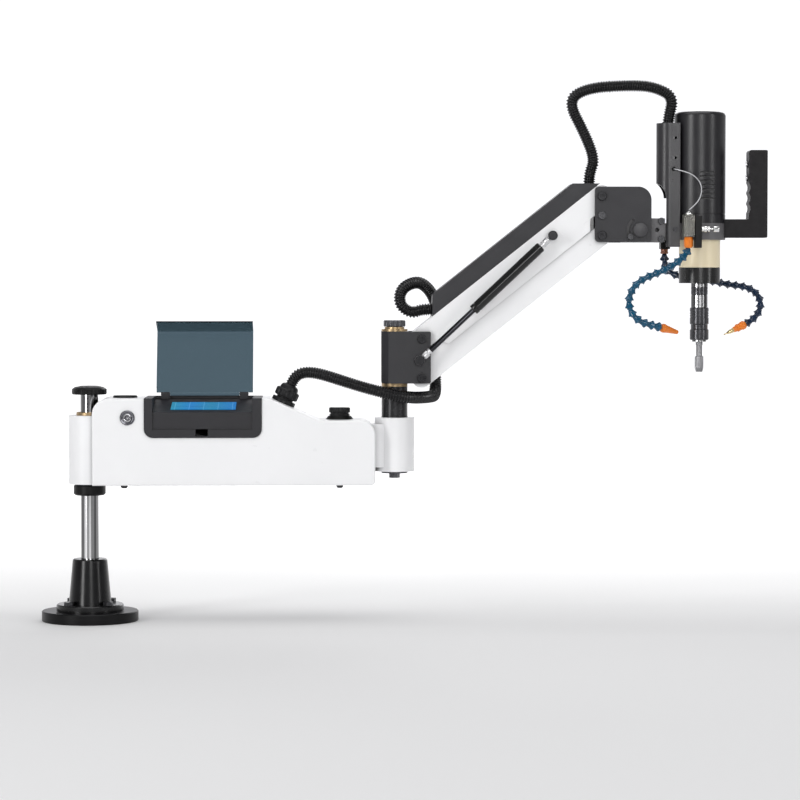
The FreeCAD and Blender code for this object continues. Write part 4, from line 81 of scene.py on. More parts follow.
def node_axis(name):
    """The low and high corners of a CAD node, and the X and Z of its middle, in millimetres."""
    low, high = node_box(name)
    return low, high, (low[0] + high[0]) / 2, (low[2] + high[2]) / 2


# ---- materials ----

EDGE_SAMPLES = 4
# Samples of the ambient occlusion that paints shade into creases.
CREASE_SHADE_SAMPLES = 8

# A wave texture of scale WAVE_TURN / pitch repeats once a pitch.
WAVE_TURN = 0.314159

# How much finer the noise is along each axis.
UNSTRETCHED = (1.0, 1.0, 1.0)
UPRIGHT_GRAIN = (4.0, 4.0, 120.0)

# Painted reflection: grey levels painted round a polished cylinder, from one side to the other, for the
# light and dark bands it mirrors.
PAINTED_REFLECTION_BANDS = (
    (0.0, 0.08), (0.16, 0.15), (0.26, 0.16), (0.30, 0.40), (0.33, 0.90), (0.40, 0.92), (0.43, 0.28),
    (0.465, 0.28), (0.50, 0.72), (0.55, 0.80), (0.575, 0.28), (0.66, 0.28), (0.70, 0.12), (0.76, 0.12),
    (0.80, 0.32), (0.86, 0.22), (1.0, 0.08),
)
# The axes that the painted reflections turn about, as X and Y in metres.
COLUMN_AXIS = (0.0, 0.0)
SPINDLE_AXIS = (1.1097, 0.0)
TAP_PITCH = 0.00075

# The lit screen, from its left edge to its right.
SCREEN_SPAN = (0.151, 0.264)
SCREEN_WASH = (
    (0.0, (0.01, 0.30, 0.46)), (0.30, (0.0, 0.20, 0.66)), (0.62, (0.01, 0.24, 0.42)),
    (1.0, (0.0, 0.16, 0.62)),
)
SCREEN_FIELDS = {
    "Color1": (0.004, 0.12, 0.26, 1.0),
    "Color2": (0.01, 0.27, 0.62, 1.0),
    "Mortar": (0.20, 0.62, 0.90, 1.0),
    "Scale": 1.0,
    "Mortar Size": 0.0007,
    "Brick Width": 0.026,
    "Row Height": 0.0085,
}
SCREEN_FIELD_SHARE = 0.38
SCREEN_GLOW = 0.8

# Where the lid's lip turns into its panel, as depths below the lid's top.
LIP_SPAN = (0.020, 0.0185)


def fill_ramp(node, stops):
    """Gives a colour ramp its stops: (place from 0 to 1, colour)."""
    band = node.color_ramp
    while len(band.elements) < len(stops):
        band.elements.new(0.5)
    for element, (place, colour) in zip(band.elements, stops):
        element.position = place
        element.color = (*colour, 1.0)


def grey(tone):
    return (tone, tone, tone)


class Paint:
    """A Principled material whose colour, gloss and relief vary with noise in object space."""

    def __init__(self, name, colour, rough, metal=0.0):
        self.material = bpy.data.materials.new(name)
        self.material.use_nodes = True
        self.nodes = self.material.node_tree.nodes
        self.links = self.material.node_tree.links
        self.shader = self.nodes["Principled BSDF"]
        self.colour = colour
        self.rough = rough
        self.shader.inputs["Base Color"].default_value = (*colour, 1.0)
        self.shader.inputs["Roughness"].default_value = rough
        self.shader.inputs["Metallic"].default_value = metal
        self.place = self.nodes.new("ShaderNodeTexCoord")
        self.height = None

    def where(self, stretch=UNSTRETCHED):
        """Object space, scaled along its axes."""
        mapping = self.nodes.new("ShaderNodeMapping")
        mapping.inputs["Scale"].default_value = stretch
        self.links.new(self.place.outputs["Object"], mapping.inputs["Vector"])
        return mapping.outputs["Vector"]

    def noise(self, scale, detail, stretch=UNSTRETCHED):
        node = self.nodes.new("ShaderNodeTexNoise")
        node.inputs["Scale"].default_value = scale
        node.inputs["Detail"].default_value = detail
        self.links.new(self.where(stretch), node.inputs["Vector"])
        return node.outputs["Fac"]

    def ranged(self, value, low, high, start=0.3, end=0.7):
        """Low up to start and high past end."""
        node = self.nodes.new("ShaderNodeMapRange")
        ends = (("From Min", start), ("From Max", end), ("To Min", low), ("To Max", high))
        for name, number in ends:
            node.inputs[name].default_value = number
        self.links.new(value, node.inputs["Value"])
        return node.outputs["Result"]

    def ramp(self, value, stops):
        node = self.nodes.new("ShaderNodeValToRGB")
        fill_ramp(node, stops)
        self.links.new(value, node.inputs["Fac"])
        return node.outputs["Color"]

    def cloud(self, scale, swing):
        """Slow colour variation about the base colour."""
        low = [max(0.0, c * (1.0 - swing)) for c in self.colour]
        high = [min(1.0, c * (1.0 + swing)) for c in self.colour]
        tint = self.ramp(self.noise(scale, 3.0), ((0.3, low), (0.7, high)))
        self.links.new(tint, self.shader.inputs["Base Color"])
        return self

    def sheen_marks(self, scale, swing, stretch=UNSTRETCHED):
        """Roughness that varies like handling marks or a brushed grain."""
        gloss = self.ranged(self.noise(scale, 4.0, stretch), max(0.02, self.rough - swing),
                            min(1.0, self.rough + swing))
        self.links.new(gloss, self.shader.inputs["Roughness"])
        return self

    def relief(self, value, distance):
        """Shallow relief, laid over what the surface already has."""
        bump = self.nodes.new("ShaderNodeBump")
        bump.inputs["Distance"].default_value = distance
        bump.inputs["Strength"].default_value = 1.0
        self.links.new(value, bump.inputs["Height"])
        if self.height is not None:
            self.links.new(self.height, bump.inputs["Normal"])
        self.height = bump.outputs["Normal"]
        self.links.new(self.height, self.shader.inputs["Normal"])
        return self

    def edges(self, radius=0.0006):
        """Edges catch the light as if they were broken by a small round."""
        node = self.nodes.new("ShaderNodeBevel")
        node.samples = EDGE_SAMPLES
        node.inputs["Radius"].default_value = radius
        self.height = node.outputs["Normal"]
        self.links.new(self.height, self.shader.inputs["Normal"])
        return self

    def soft(self, level):
        """How strongly the clear surface of the paint mirrors."""
        self.shader.inputs["Specular IOR Level"].default_value = level
        return self

    def painted_crease_shade(self, reach, darkest_shade):
        """Painted shade: where faces meet closely, ambient occlusion paints the colour a little darker, as
        shade falls there.
        """
        base = self.shader.inputs["Base Color"]
        node = self.nodes.new("ShaderNodeAmbientOcclusion")
        node.samples = CREASE_SHADE_SAMPLES
        node.inputs["Distance"].default_value = reach
        mix = self.nodes.new("ShaderNodeMix")
        mix.data_type = "RGBA"
        mix.blend_type = "MULTIPLY"
        mix.inputs["Factor"].default_value = 1.0
        self.links.new(base.links[0].from_socket, mix.inputs["A"])
        self.links.new(self.ranged(node.outputs["AO"], darkest_shade, 1.0, 0.0, 1.0), mix.inputs["B"])
        self.links.new(mix.outputs["Result"], base)
        return self

    def painted_reflection_bands(self, x, y, stops):
        """Painted reflection: upright bands of grey painted about an axis, as a polished shaft mirrors a
        studio; they repeat twice a turn.
        """
        split = self.nodes.new("ShaderNodeSeparateXYZ")
        self.links.new(self.place.outputs["Object"], split.inputs["Vector"])
        ahead = self.sum(split.outputs["Y"], "SUBTRACT", y)
        aside = self.sum(split.outputs["X"], "SUBTRACT", x)
        turn = self.nodes.new("ShaderNodeMath")
        turn.operation = "ARCTAN2"
        self.links.new(aside, turn.inputs[0])
        self.links.new(self.sum(ahead, "MULTIPLY", -1.0), turn.inputs[1])
        share = self.sum(self.sum(turn.outputs["Value"], "DIVIDE", math.pi), "ADD", 0.5)
        tone = self.ramp(self.sum(share, "FRACT", 0.0),
                         [(place, (v, v, v * 1.01)) for place, v in stops])
        self.links.new(tone, self.shader.inputs["Base Color"])
        return self

    def sum(self, value, operation, number):
        """A value and a number put together by a Math node."""
        node = self.nodes.new("ShaderNodeMath")
        node.operation = operation
        self.links.new(value, node.inputs[0])
        node.inputs[1].default_value = number
        return node.outputs["Value"]

    def along(self, axis, start, end):
        """0 before start and 1 past end, along an axis of the piece, in metres."""
        split = self.nodes.new("ShaderNodeSeparateXYZ")
        self.links.new(self.place.outputs["Object"], split.inputs["Vector"])
        return self.ranged(split.outputs[axis], 0.0, 1.0, start, end)

    def peel(self, scale, distance, detail=2.0):
        """The fine unevenness of a painted or moulded face."""
        return self.relief(self.noise(scale, detail), distance)

    def rings(self, pitch, distance):
        """Fine threaded rings up the piece."""
        wave = self.nodes.new("ShaderNodeTexWave")
        wave.bands_direction = "Z"
        wave.inputs["Scale"].default_value = WAVE_TURN / pitch
        wave.inputs["Distortion"].default_value = 0.0
        self.links.new(self.where(), wave.inputs["Vector"])
        return self.relief(wave.outputs["Fac"], distance)


def white_enamel(name):
    # Painted shade darkens its creases.
    return (Paint(name, (0.89, 0.892, 0.90), 0.34).edges(0.0008).cloud(6.0, 0.02)
            .sheen_marks(30.0, 0.07).peel(900.0, 0.00004).painted_crease_shade(0.010, 0.45))


def satin_grey(name, colour, rough=0.46):
    # Painted shade darkens its creases.
    return (Paint(name, colour, rough).edges().cloud(18.0, 0.08).sheen_marks(40.0, 0.03)
            .peel(2600.0, 0.00001, detail=4.0).painted_crease_shade(0.010, 0.30))


def gloss_black(name, colour, rough):
    return (Paint(name, colour, rough).edges().cloud(25.0, 0.12).sheen_marks(30.0, 0.03)
            .peel(700.0, 0.000005))


def moulded(name, colour, rough):
    return (Paint(name, colour, rough).edges().cloud(40.0, 0.14).sheen_marks(120.0, 0.08)
            .peel(3200.0, 0.00001, detail=5.0).soft(0.22))


def hose_plastic(name, colour, rough, patches=60.0, swing=0.20):
    return (Paint(name, colour, rough).cloud(patches, swing).sheen_marks(90.0, 0.08)
            .peel(500.0, 0.00004))


def polished(name, colour, rough):
    return Paint(name, colour, rough, 1.0).cloud(20.0, 0.05).sheen_marks(8.0, 0.02, UPRIGHT_GRAIN)


def blackened(name, colour, rough):
    return (Paint(name, colour, rough, 0.6).edges().cloud(30.0, 0.10).sheen_marks(60.0, 0.05)
            .peel(1500.0, 0.00001))


def cast_steel(name):
    """A rough casting, its grains from black to pale."""
    paint = Paint(name, (0.10, 0.10, 0.095), 0.46, 0.6)
    speck = paint.noise(620.0, 5.0)
    colour = paint.ramp(speck, ((0.42, (0.010, 0.012, 0.012)), (0.52, (0.10, 0.10, 0.09)),
                                (0.60, (0.62, 0.60, 0.54))))
    paint.links.new(colour, paint.shader.inputs["Base Color"])
    return paint.relief(speck, 0.0006).sheen_marks(300.0, 0.15)


def lit_screen(name):
    """A lit panel with no lettering: a cyan to blue wash over a grid of fields."""
    paint = Paint(name, (0.01, 0.03, 0.05), 0.12)
    wash = paint.ramp(paint.along("X", *SCREEN_SPAN), SCREEN_WASH)
    fields = paint.nodes.new("ShaderNodeTexBrick")
    for key, value in SCREEN_FIELDS.items():
        fields.inputs[key].default_value = value
    fields.offset = 0.0
    paint.links.new(paint.where(), fields.inputs["Vector"])
    mix = paint.nodes.new("ShaderNodeMix")
    mix.data_type = "RGBA"
    mix.inputs["Factor"].default_value = SCREEN_FIELD_SHARE
    paint.links.new(wash, mix.inputs["A"])
    paint.links.new(fields.outputs["Color"], mix.inputs["B"])
    paint.links.new(mix.outputs["Result"], paint.shader.inputs["Emission Color"])
    paint.shader.inputs["Emission Strength"].default_value = SCREEN_GLOW
    return paint.soft(0.12)


def smoked(name):
    """Tinted see-through acrylic, deeper at the lip."""
    paint = Paint(name, (0.085, 0.130, 0.165), 0.06)
    top = node_box("display_lid")[1][2] * MM
    tint = paint.ramp(paint.along("Z", top - LIP_SPAN[0], top - LIP_SPAN[1]),
                      ((0.0, (0.068, 0.104, 0.128)), (1.0, (0.031, 0.054, 0.066))))
    paint.links.new(tint, paint.shader.inputs["Base Color"])
    paint.shader.inputs["Transmission Weight"].default_value = 1.0
    paint.shader.inputs["IOR"].default_value = 1.25
    return paint.peel(14.0, 0.00002)


def make_materials():
    """All finishes, by the key that pieces ask for."""
    mats = {
        "white": white_enamel("white_enamel"),
        "dark": satin_grey("dark_powder", (0.0175, 0.017, 0.0205)),
        "panel": satin_grey("panel_dark", (0.0125, 0.012, 0.0155), 0.5),
        "block": satin_grey("block_grey", (0.014, 0.0138, 0.017), 0.42),
        "link": satin_grey("link_grey", (0.125, 0.122, 0.127), 0.42),
        "motor": satin_grey("motor_grey", (0.0135, 0.013, 0.0155), 0.32),
        "guide": satin_grey("guide_grey", (0.032, 0.031, 0.034), 0.30),
        "stand": gloss_black("stand_black", (0.003, 0.003, 0.0035), 0.22).soft(0.42),
        "plate": gloss_black("plate_black", (0.0025, 0.0025, 0.003), 0.34).soft(0.22),
        "nose": gloss_black("nose_black", (0.018, 0.018, 0.018), 0.22),
        "cream": Paint("cream_enamel", (0.88, 0.77, 0.54), 0.34).cloud(10.0, 0.03).sheen_marks(30.0, 0.03)
                 .peel(800.0, 0.00001),
        # The column and the spindle carry painted reflections: grey bands round their axes.
        "shaft": polished("ground_shaft_painted_reflections", (0.72, 0.72, 0.74), 0.10).painted_reflection_bands(*COLUMN_AXIS, PAINTED_REFLECTION_BANDS),
        "chrome": polished("bright_chrome", (0.80, 0.80, 0.81), 0.08),
        "satin": polished("satin_steel_painted_reflections", (0.55, 0.55, 0.56), 0.22).painted_reflection_bands(*SPINDLE_AXIS, PAINTED_REFLECTION_BANDS),
        "post": blackened("blackened_post", (0.035, 0.035, 0.037), 0.26),
        "screw": blackened("black_screws", (0.050, 0.050, 0.054), 0.30),
        "pin": blackened("pin_black", (0.016, 0.016, 0.018), 0.32),
        "nut": blackened("gun_nut", (0.10, 0.10, 0.11), 0.30),
        "bronze": polished("turned_bronze", (0.48, 0.35, 0.20), 0.36),
        "copper": polished("dark_copper", (0.23, 0.11, 0.08), 0.34),
        "rubber": moulded("black_moulded", (0.005, 0.005, 0.005), 0.38),
        "gland": moulded("gland_black", (0.014, 0.014, 0.015), 0.36),
        "gunmetal": polished("gunmetal", (0.20, 0.20, 0.22), 0.22),
        "zinc": polished("zinc_fitting", (0.74, 0.74, 0.75), 0.34),
        "bright": polished("bright_fitting", (0.86, 0.86, 0.85), 0.16),
        "boss": satin_grey("boss_grey", (0.050, 0.049, 0.053), 0.40),
        "grip": moulded("grip_black", (0.013, 0.012, 0.013), 0.50),
        "conduit": moulded("conduit_black", (0.006, 0.006, 0.007), 0.24).soft(0.5),
        "strut": gloss_black("strut_black", (0.006, 0.006, 0.006), 0.12),
        "rod": polished("black_rod", (0.045, 0.045, 0.05), 0.12),
        "chuck": blackened("chuck_black", (0.085, 0.085, 0.092), 0.20),
        "tap": polished("tap_steel", (0.30, 0.30, 0.31), 0.30).rings(TAP_PITCH, 0.00006),
        "valve": cast_steel("valve_casting"),
        "blue": hose_plastic("hose_blue", (0.003, 0.076, 0.150), 0.20),
        "navy": hose_plastic("hose_navy", (0.004, 0.020, 0.056), 0.22),
        "orange": hose_plastic("nozzle_orange", (0.86, 0.22, 0.018), 0.32, 80.0, 0.10),
        "gold": polished("nozzle_brass", (0.80, 0.62, 0.32), 0.20),
        "lead": Paint("lead_grey", (0.55, 0.55, 0.57), 0.35).cloud(200.0, 0.12).peel(900.0, 0.00003),
        "screen": lit_screen("lit_screen"),
        "lid": smoked("smoked_lid"),
    }
    return {key: paint.material for key, paint in mats.items()}


def dress(mats):
    """Every CAD node that stays in view gets its finish."""
    wear = {
        "white": "arm_housing upper_beam lower_beam",
        "dark": "beam_cover bracket_plates",
        "block": "swivel_block",
        "panel": "display_housing",
        "link": "head_carrier",
        "guide": "cable_guide",
        "motor": "motor_housing",
        "stand": "column_foot",
        "plate": "base_plate arm_bottom_cover",
        "nose": "gearbox_nose",
        "cream": "gearbox",
        "shaft": "column",
        "chrome": "grip_button_upper grip_button_lower",
        "satin": "spindle",
        "post": "swivel_post",
        "screw": "foot_screws collar_screw bottom_cover_screws bracket_screws carrier_screws",
        "pin": "block_pins bracket_pins strut_upper_pin",
        "nut": "post_fastenings",
        "bronze": "column_bushes swivel_bushes",
        "rubber": "column_knob top_plug foot_switch_socket valve_bracket rear_fitting height_collar "
                  "thrust_washer",
        "grip": "handle",
        "chuck": "quick_change_collar",
        "tap": "tap",
        "screen": "touch_screen",
        "lid": "display_lid",
    }
    for key, names in wear.items():
        for name in names.split():
            node = NODES[name]
            node.data.materials.clear()
            node.data.materials.append(mats[key])


# ---- geometry helpers ----

CURVE_STEPS = 24
TURNED_CREASE = 35.0
FLUTE_SIDES = 8
FLUTE_CREASE = 50.0
FLUTE_SHARPNESS = 1.5
BEVEL_STEPS = 3


def new_mesh(name, points, faces, material, body, smooth=True):
    """A piece of the scene that rides on a body, or on none when body is None."""
    mesh = bpy.data.meshes.new(name)
    mesh.from_pydata([tuple(p) for p in points], [], faces)
    mesh.update()
    if smooth:
        mesh.shade_smooth()
    mesh.materials.append(material)
    piece = bpy.data.objects.new(name, mesh)
    SCENE.collection.objects.link(piece)
    if body:
        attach(piece, body)
    return piece


def route_line(name, route):
    """Points along the smooth NURBS line of a route given in millimetres."""
    curve = route_curve(name, route)
    holder = bpy.data.objects.new(name, curve)
    mesh = bpy.data.meshes.new_from_object(holder)
    points = [v.co.copy() for v in mesh.vertices]
    bpy.data.objects.remove(holder)
    bpy.data.meshes.remove(mesh)
    bpy.data.curves.remove(curve)
    return points


def route_curve(name, route):
    """A smooth NURBS curve through the run of a route given in millimetres."""
    curve = bpy.data.curves.new(name, "CURVE")
    curve.dimensions = "3D"
    curve.resolution_u = CURVE_STEPS
    spline = curve.splines.new("NURBS")
    spline.points.add(len(route) - 1)
    for point, place in zip(spline.points, route):
        point.co = (*(v * MM for v in place), 1.0)
    spline.order_u = 3
    spline.use_endpoint_u = True
    return curve


def evenly(points, step):
    """The line again with points a fixed step apart, and its length."""
    lengths = [0.0]
    for a, b in zip(points, points[1:]):
        lengths.append(lengths[-1] + (b - a).length)
    count = max(2, round(lengths[-1] / step))
    line = []
    k = 0
    for i in range(count + 1):
        goal = lengths[-1] * i / count
        while k < len(points) - 2 and lengths[k + 1] < goal:
            k += 1
        share = (goal - lengths[k]) / (lengths[k + 1] - lengths[k])
        line.append(points[k].lerp(points[k + 1], min(1.0, max(0.0, share))))
    return line, lengths[-1]


def around(sides):
    """The angles of a ring's corners."""
    return [2 * math.pi * k / sides for k in range(sides)]


def tube(name, line, radii, sides, material):
    """A tube swept along a line, each ring with its own radius, closed at both ends."""
    points = []
    forward = (line[1] - line[0]).normalized()
    side = forward.orthogonal().normalized()
    for i, centre in enumerate(line):
        ahead = (line[min(i + 1, len(line) - 1)] - line[max(i - 1, 0)]).normalized()
        side = (side - ahead * side.dot(ahead)).normalized()
        up = ahead.cross(side)
        for angle in around(sides):
            points.append(centre + (side * math.cos(angle) + up * math.sin(angle)) * radii[i])
    return new_mesh(name, points, lathe_faces(len(line), sides), material, None)


def lathe_points(profile, start, finish, sides):
    """Rings about the line from start to finish; profile is (distance along it, radius)."""
    turn = (finish - start).normalized().to_track_quat("Z", "X")
    points = []
    for along, radius in profile:
        for angle in around(sides):
            spot = Vector((radius * math.cos(angle), radius * math.sin(angle), along))
            points.append(start + turn @ spot)
    return points


def lathe_faces(rings, sides, first=0):
    """The faces that join rings of corners, with a cap at each end."""
    faces = []
    for i in range(rings - 1):
        for k in range(sides):
            n = (k + 1) % sides
            a = first + i * sides
            faces.append((a + k, a + n, a + sides + n, a + sides + k))
    faces.append(tuple(first + k for k in reversed(range(sides))))
    faces.append(tuple(first + (rings - 1) * sides + k for k in range(sides)))
    return faces


def lathes(name, shapes, sides, material, body, crease=TURNED_CREASE):
    """One piece made of several turned shapes: (profile in mm, start mm, finish mm)."""
    points = []
    faces = []
    for profile, start, finish in shapes:
        faces += lathe_faces(len(profile), sides, len(points))
        points += lathe_points([(a * MM, r * MM) for a, r in profile], Vector(start) * MM,
                               Vector(finish) * MM, sides)
    piece = new_mesh(name, points, faces, material, body)
    piece.data.set_sharp_from_angle(angle=math.radians(crease))
    return piece


def fluted(name, profile, start, finish, lobes, material, body):
    """A turned shape with grip flutes: profile is (distance, radius, flute depth) in mm."""
    sides = lobes * FLUTE_SIDES
    origin = Vector(start) * MM
    turn = (Vector(finish) - Vector(start)).normalized().to_track_quat("Z", "X")
    points = []
    for along, radius, depth in profile:
        for angle in around(sides):
            reach = radius - depth * (0.5 - 0.5 * math.cos(lobes * angle)) ** FLUTE_SHARPNESS
            spot = Vector((reach * math.cos(angle), reach * math.sin(angle), along))
            points.append(origin + turn @ spot * MM)
    piece = new_mesh(name, points, lathe_faces(len(profile), sides), material, body)
    piece.data.set_sharp_from_angle(angle=math.radians(FLUTE_CREASE))
    return piece


def boxed(name, low, high, rounding, material, body):
    """A block between two corners in mm, with rounded edges."""
    points = [Vector((x, y, z)) * MM for x in (low[0], high[0]) for y in (low[1], high[1])
              for z in (low[2], high[2])]
    faces = [(0, 1, 3, 2), (4, 6, 7, 5), (0, 4, 5, 1), (2, 3, 7, 6), (0, 2, 6, 4), (1, 5, 7, 3)]
    piece = new_mesh(name, points, faces, material, body, False)
    bevel = piece.modifiers.new("edges", "BEVEL")
    bevel.width = rounding * MM
    bevel.segments = BEVEL_STEPS
    return piece


def plates(name, outline, depths, material, body):
    """Flat plates of one side view (x, z), each between two depths, all in mm."""
    points = []
    faces = []
    count = len(outline)
    for near, far in depths:
        first = len(points)
        points += [Vector((x, y, z)) * MM for y in (near, far) for x, z in outline]
        faces.append(tuple(range(first, first + count)))
        faces.append(tuple(reversed(range(first + count, first + 2 * count))))
        for k in range(count):
            n = (k + 1) % count
            faces.append((first + k, first + count + k, first + count + n, first + n))
    return new_mesh(name, points, faces, material, body, False)


# ---- fittings on the control arm ----

GLAND_FOOT = (351.0, 0.0, 396.1)
GLAND_MOUTH = (365.4, 0.0, 428.0)


def make_fittings(mats):
    """The conduit gland, the socket's cap and the power switch."""
    gland = fluted("gland_body", [
        (0.2, 20.8, 0.0), (0.8, 22.0, 0.0), (6.6, 22.0, 0.0), (7.4, 21.2, 0.0), (7.6, 15.6, 0.0),
        (10.4, 15.6, 0.0), (10.8, 19.6, 1.4), (12.4, 21.8, 2.4), (23.6, 21.8, 2.4), (25.6, 19.4, 1.6),
        (26.2, 17.2, 0.0), (31.0, 16.4, 0.0), (34.0, 14.4, 0.0), (35.2, 12.2, 0.0)],
        GLAND_FOOT, GLAND_MOUTH, 12, mats["gland"], "control_arm")
    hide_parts("conduit_gland")
    low, high, x, _ = node_axis("socket_cap")
    cap = fluted("socket_cap_ribbed", [
        (0.0, 17.0, 0.0), (0.4, 18.4, 0.8), (3.6, 18.4, 0.8), (4.0, 16.6, 0.0), (5.6, 16.6, 0.0),
        (6.0, 18.6, 1.2), (6.8, 19.2, 1.4), (14.0, 19.2, 1.4), (15.4, 17.6, 0.6), (15.5, 14.0, 0.0)],
        (x, 0.0, low[2]), (x, 0.0, high[2]), 14, mats["gland"], "control_arm")
    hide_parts("socket_cap")

    low, high, x, z = node_axis("power_switch_barrel")
    bezel = lathes("switch_bezel", [([
        (1.9, 0.5), (1.9, 7.6), (1.7, 9.4), (0.3, 10.0), (0.0, 10.8), (0.0, 12.2), (0.9, 13.2),
        (2.4, 13.5), (2.6, 9.5), (26.0, 9.5)], (x, low[1], z), (x, high[1], z))],
        48, mats["gunmetal"], "control_arm")
    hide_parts("power_switch_barrel")
    low, high = node_box("power_button")
    rim = lathes("switch_button", [([
        (0.9, 4.9), (0.1, 5.2), (0.0, 5.8), (0.1, 6.5), (0.7, 7.0), (high[1] - low[1], 7.0)],
        (x, low[1], z), (x, high[1], z))], 48, mats["chrome"], "power_cap")
    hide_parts("power_button")
    face = lathes("switch_face", [([
        (0.45, 3.4), (0.55, 4.6), (0.95, 4.9)],
        (x, low[1], z), (x, high[1], z))], 40, mats["gunmetal"], "power_cap")
    mark = lathes("switch_mark", [([
        (0.25, 0.6), (0.3, 1.7), (0.5, 1.9)],
        (x, low[1], z), (x, high[1], z))], 32, mats["chrome"], "power_cap")


# ---- balancing struts ----

# The struts' pins, as X and Z.
STRUT_LOW = (598.5, 474.7)
STRUT_HIGH = (837.4, 699.2)

# Name, depth, the rod's pin, the barrel's pin, the rod's body and the barrel's body.
STRUTS = (
    ("front", -57.0, STRUT_LOW, STRUT_HIGH, "strut_foot", "strut_head"),
    ("inner", 0.0, STRUT_HIGH, STRUT_LOW, "strut_head", "strut_foot"),
)

# Profiles along the strut from a pin: (distance, radius).
STRUT_ROD = ((24.0, 3.6), (25.0, 4.9), (250.5, 5.0), (252.0, 4.2))
STRUT_BARREL = (
    (28.5, 4.4), (29.0, 8.2), (30.5, 9.5), (36.0, 9.6), (36.4, 9.2), (37.2, 9.2), (37.6, 9.6),
    (186.0, 9.6), (186.6, 9.0), (188.4, 9.0), (189.0, 9.6), (194.5, 9.6), (196.0, 8.8), (196.0, 5.4),
)
STRUT_EYE = ((0.0, 6.6), (0.5, 8.4), (1.4, 9.0), (7.6, 9.0), (8.5, 8.4), (9.0, 6.6))
STRUT_STUD = (
    (7.0, 4.4), (9.0, 5.2), (10.0, 6.2), (19.0, 6.2), (20.0, 5.6), (20.2, 4.0), (21.6, 4.0), (21.8, 6.0),
    (25.8, 6.0), (26.0, 3.8), (29.2, 3.8),
)
EYE_HALF = 4.5


def make_struts(mats):
    """Each strut has a rod from its pin at one end and a barrel from its pin at the other."""
    for name, side, rod_pin, barrel_pin, rod_body, barrel_body in STRUTS:
        rod_end = (rod_pin[0], side, rod_pin[1])
        barrel_end = (barrel_pin[0], side, barrel_pin[1])
        rod = lathes("rod_" + name, [(STRUT_ROD, rod_end, barrel_end)], 24, mats["rod"], rod_body)
        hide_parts("strut_rod_" + name)
        barrel = lathes("barrel_" + name, [(STRUT_BARREL, barrel_end, rod_end)], 32, mats["strut"],
                        barrel_body)
        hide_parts("strut_cylinder_" + name)
        for end, far, body, label in ((rod_end, barrel_end, rod_body, "rod"),
                                      (barrel_end, rod_end, barrel_body, "barrel")):
            near = (end[0], side - EYE_HALF, end[2])
            back = (end[0], side + EYE_HALF, end[2])
            fitting = lathes("eye_" + label + "_" + name, [(STRUT_EYE, near, back), (STRUT_STUD, end, far)],
                             24, mats["zinc"], body)


# ---- fittings on the head ----

VALVE_X = 1082.0
VALVE_Y = -62.0
VALVE_LOW = (1072.0, -74.0, 697.0)
VALVE_HIGH = (1092.0, -50.0, 737.0)
NEEDLE_PLACE = (1105.3, VALVE_Y, 711.0)
NEEDLE_AIM = (1141.0, VALVE_Y, 711.0)
TILT_X = 997.03
TILT_Z = 709.68
SPACER_STUD_X = 927.5
SPACER_STUD_Z = 735.7
GRIP_BUTTON_HEIGHTS = (829.5, 805.0)
SLEEVE_REACH = 10.0


def make_valve(mats):
    """The coolant valve's casting, its cap and its needle."""
    body = boxed("valve_casting", VALVE_LOW, VALVE_HIGH, 1.2, mats["valve"], "head")
    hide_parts("coolant_valve")
    dome = lathes("valve_cap", [([
        (0.0, 5.6), (0.3, 6.6), (2.8, 6.6), (3.4, 5.4), (5.6, 3.6), (6.8, 1.6)],
        (VALVE_X, VALVE_Y, 737.1), (VALVE_X, VALVE_Y, 744.0))], 24, mats["bright"], "head")
    needle = lathes("valve_needle", [([
        (0.0, 3.5), (0.4, 4.7), (4.8, 4.7), (5.0, 5.9), (9.4, 5.9), (9.6, 3.4), (11.0, 3.4), (11.2, 5.3),
        (14.6, 5.3), (14.8, 1.4), (21.0, 1.4), (21.3, 5.0), (22.0, 5.7), (30.4, 5.7), (31.4, 5.0)],
        NEEDLE_PLACE, NEEDLE_AIM)], 28, mats["bright"], "head")


def make_motor_details(mats):
    """A screw of the motor's cover, the lead's grommet and the rings of the grip's buttons."""
    dot = lathes("motor_screw", [([
        (0.0, 1.0), (0.2, 2.0), (1.6, 2.2)],
        (1117.7, -46.4, 746.0), (1117.7, -44.0, 746.0))], 20, mats["pin"], "head")
    grommet = lathes("lead_grommet", [([
        (0.0, 1.4), (0.4, 2.6), (2.2, 2.8), (2.6, 3.8), (3.6, 3.8)],
        (1058.6, -38.0, 820.0), (1058.0, -33.0, 820.0))], 20, mats["rubber"], "head")
    ring = [(0.0, 6.9), (0.3, 7.6), (1.6, 8.2), (2.2, 8.2)]
    rings = [(ring, (1195.2, 0.0, z), (1198.0, 0.0, z)) for z in GRIP_BUTTON_HEIGHTS]
    collars = lathes("grip_button_rings", rings, 32, mats["pin"], "head")


def make_bracket_details(mats):
    """The tilt boss, what holds the bracket's plates apart, and the corners of the beam's end."""
    boss = lathes("tilt_boss_face", [([
        (0.0, 11.6), (0.5, 13.0), (1.0, 13.4), (4.4, 13.4)],
        (TILT_X, -48.4, TILT_Z), (TILT_X, -44.0, TILT_Z))], 48, mats["boss"], "bracket")
    spacer = plates("bracket_spacer", [
        (906.5, 704.0), (914.0, 704.0), (918.0, 713.5), (934.0, 713.5), (934.0, 741.0), (906.5, 741.0)],
        ((-28.0, 28.0),), mats["strut"], "bracket")
    stud = lathes("spacer_stud", [([
        (0.0, 3.4), (72.4, 3.4)],
        (SPACER_STUD_X, -36.2, SPACER_STUD_Z), (SPACER_STUD_X, 36.2, SPACER_STUD_Z))],
        20, mats["strut"], "bracket")
    corners = plates("beam_corners", [
        (892.5, 716.7), (894.4, 719.1), (907.0, 729.2), (907.0, 707.2), (902.8, 703.9)],
        ((-35.97, -33.1), (33.1, 35.97)), mats["white"], "upper_link")


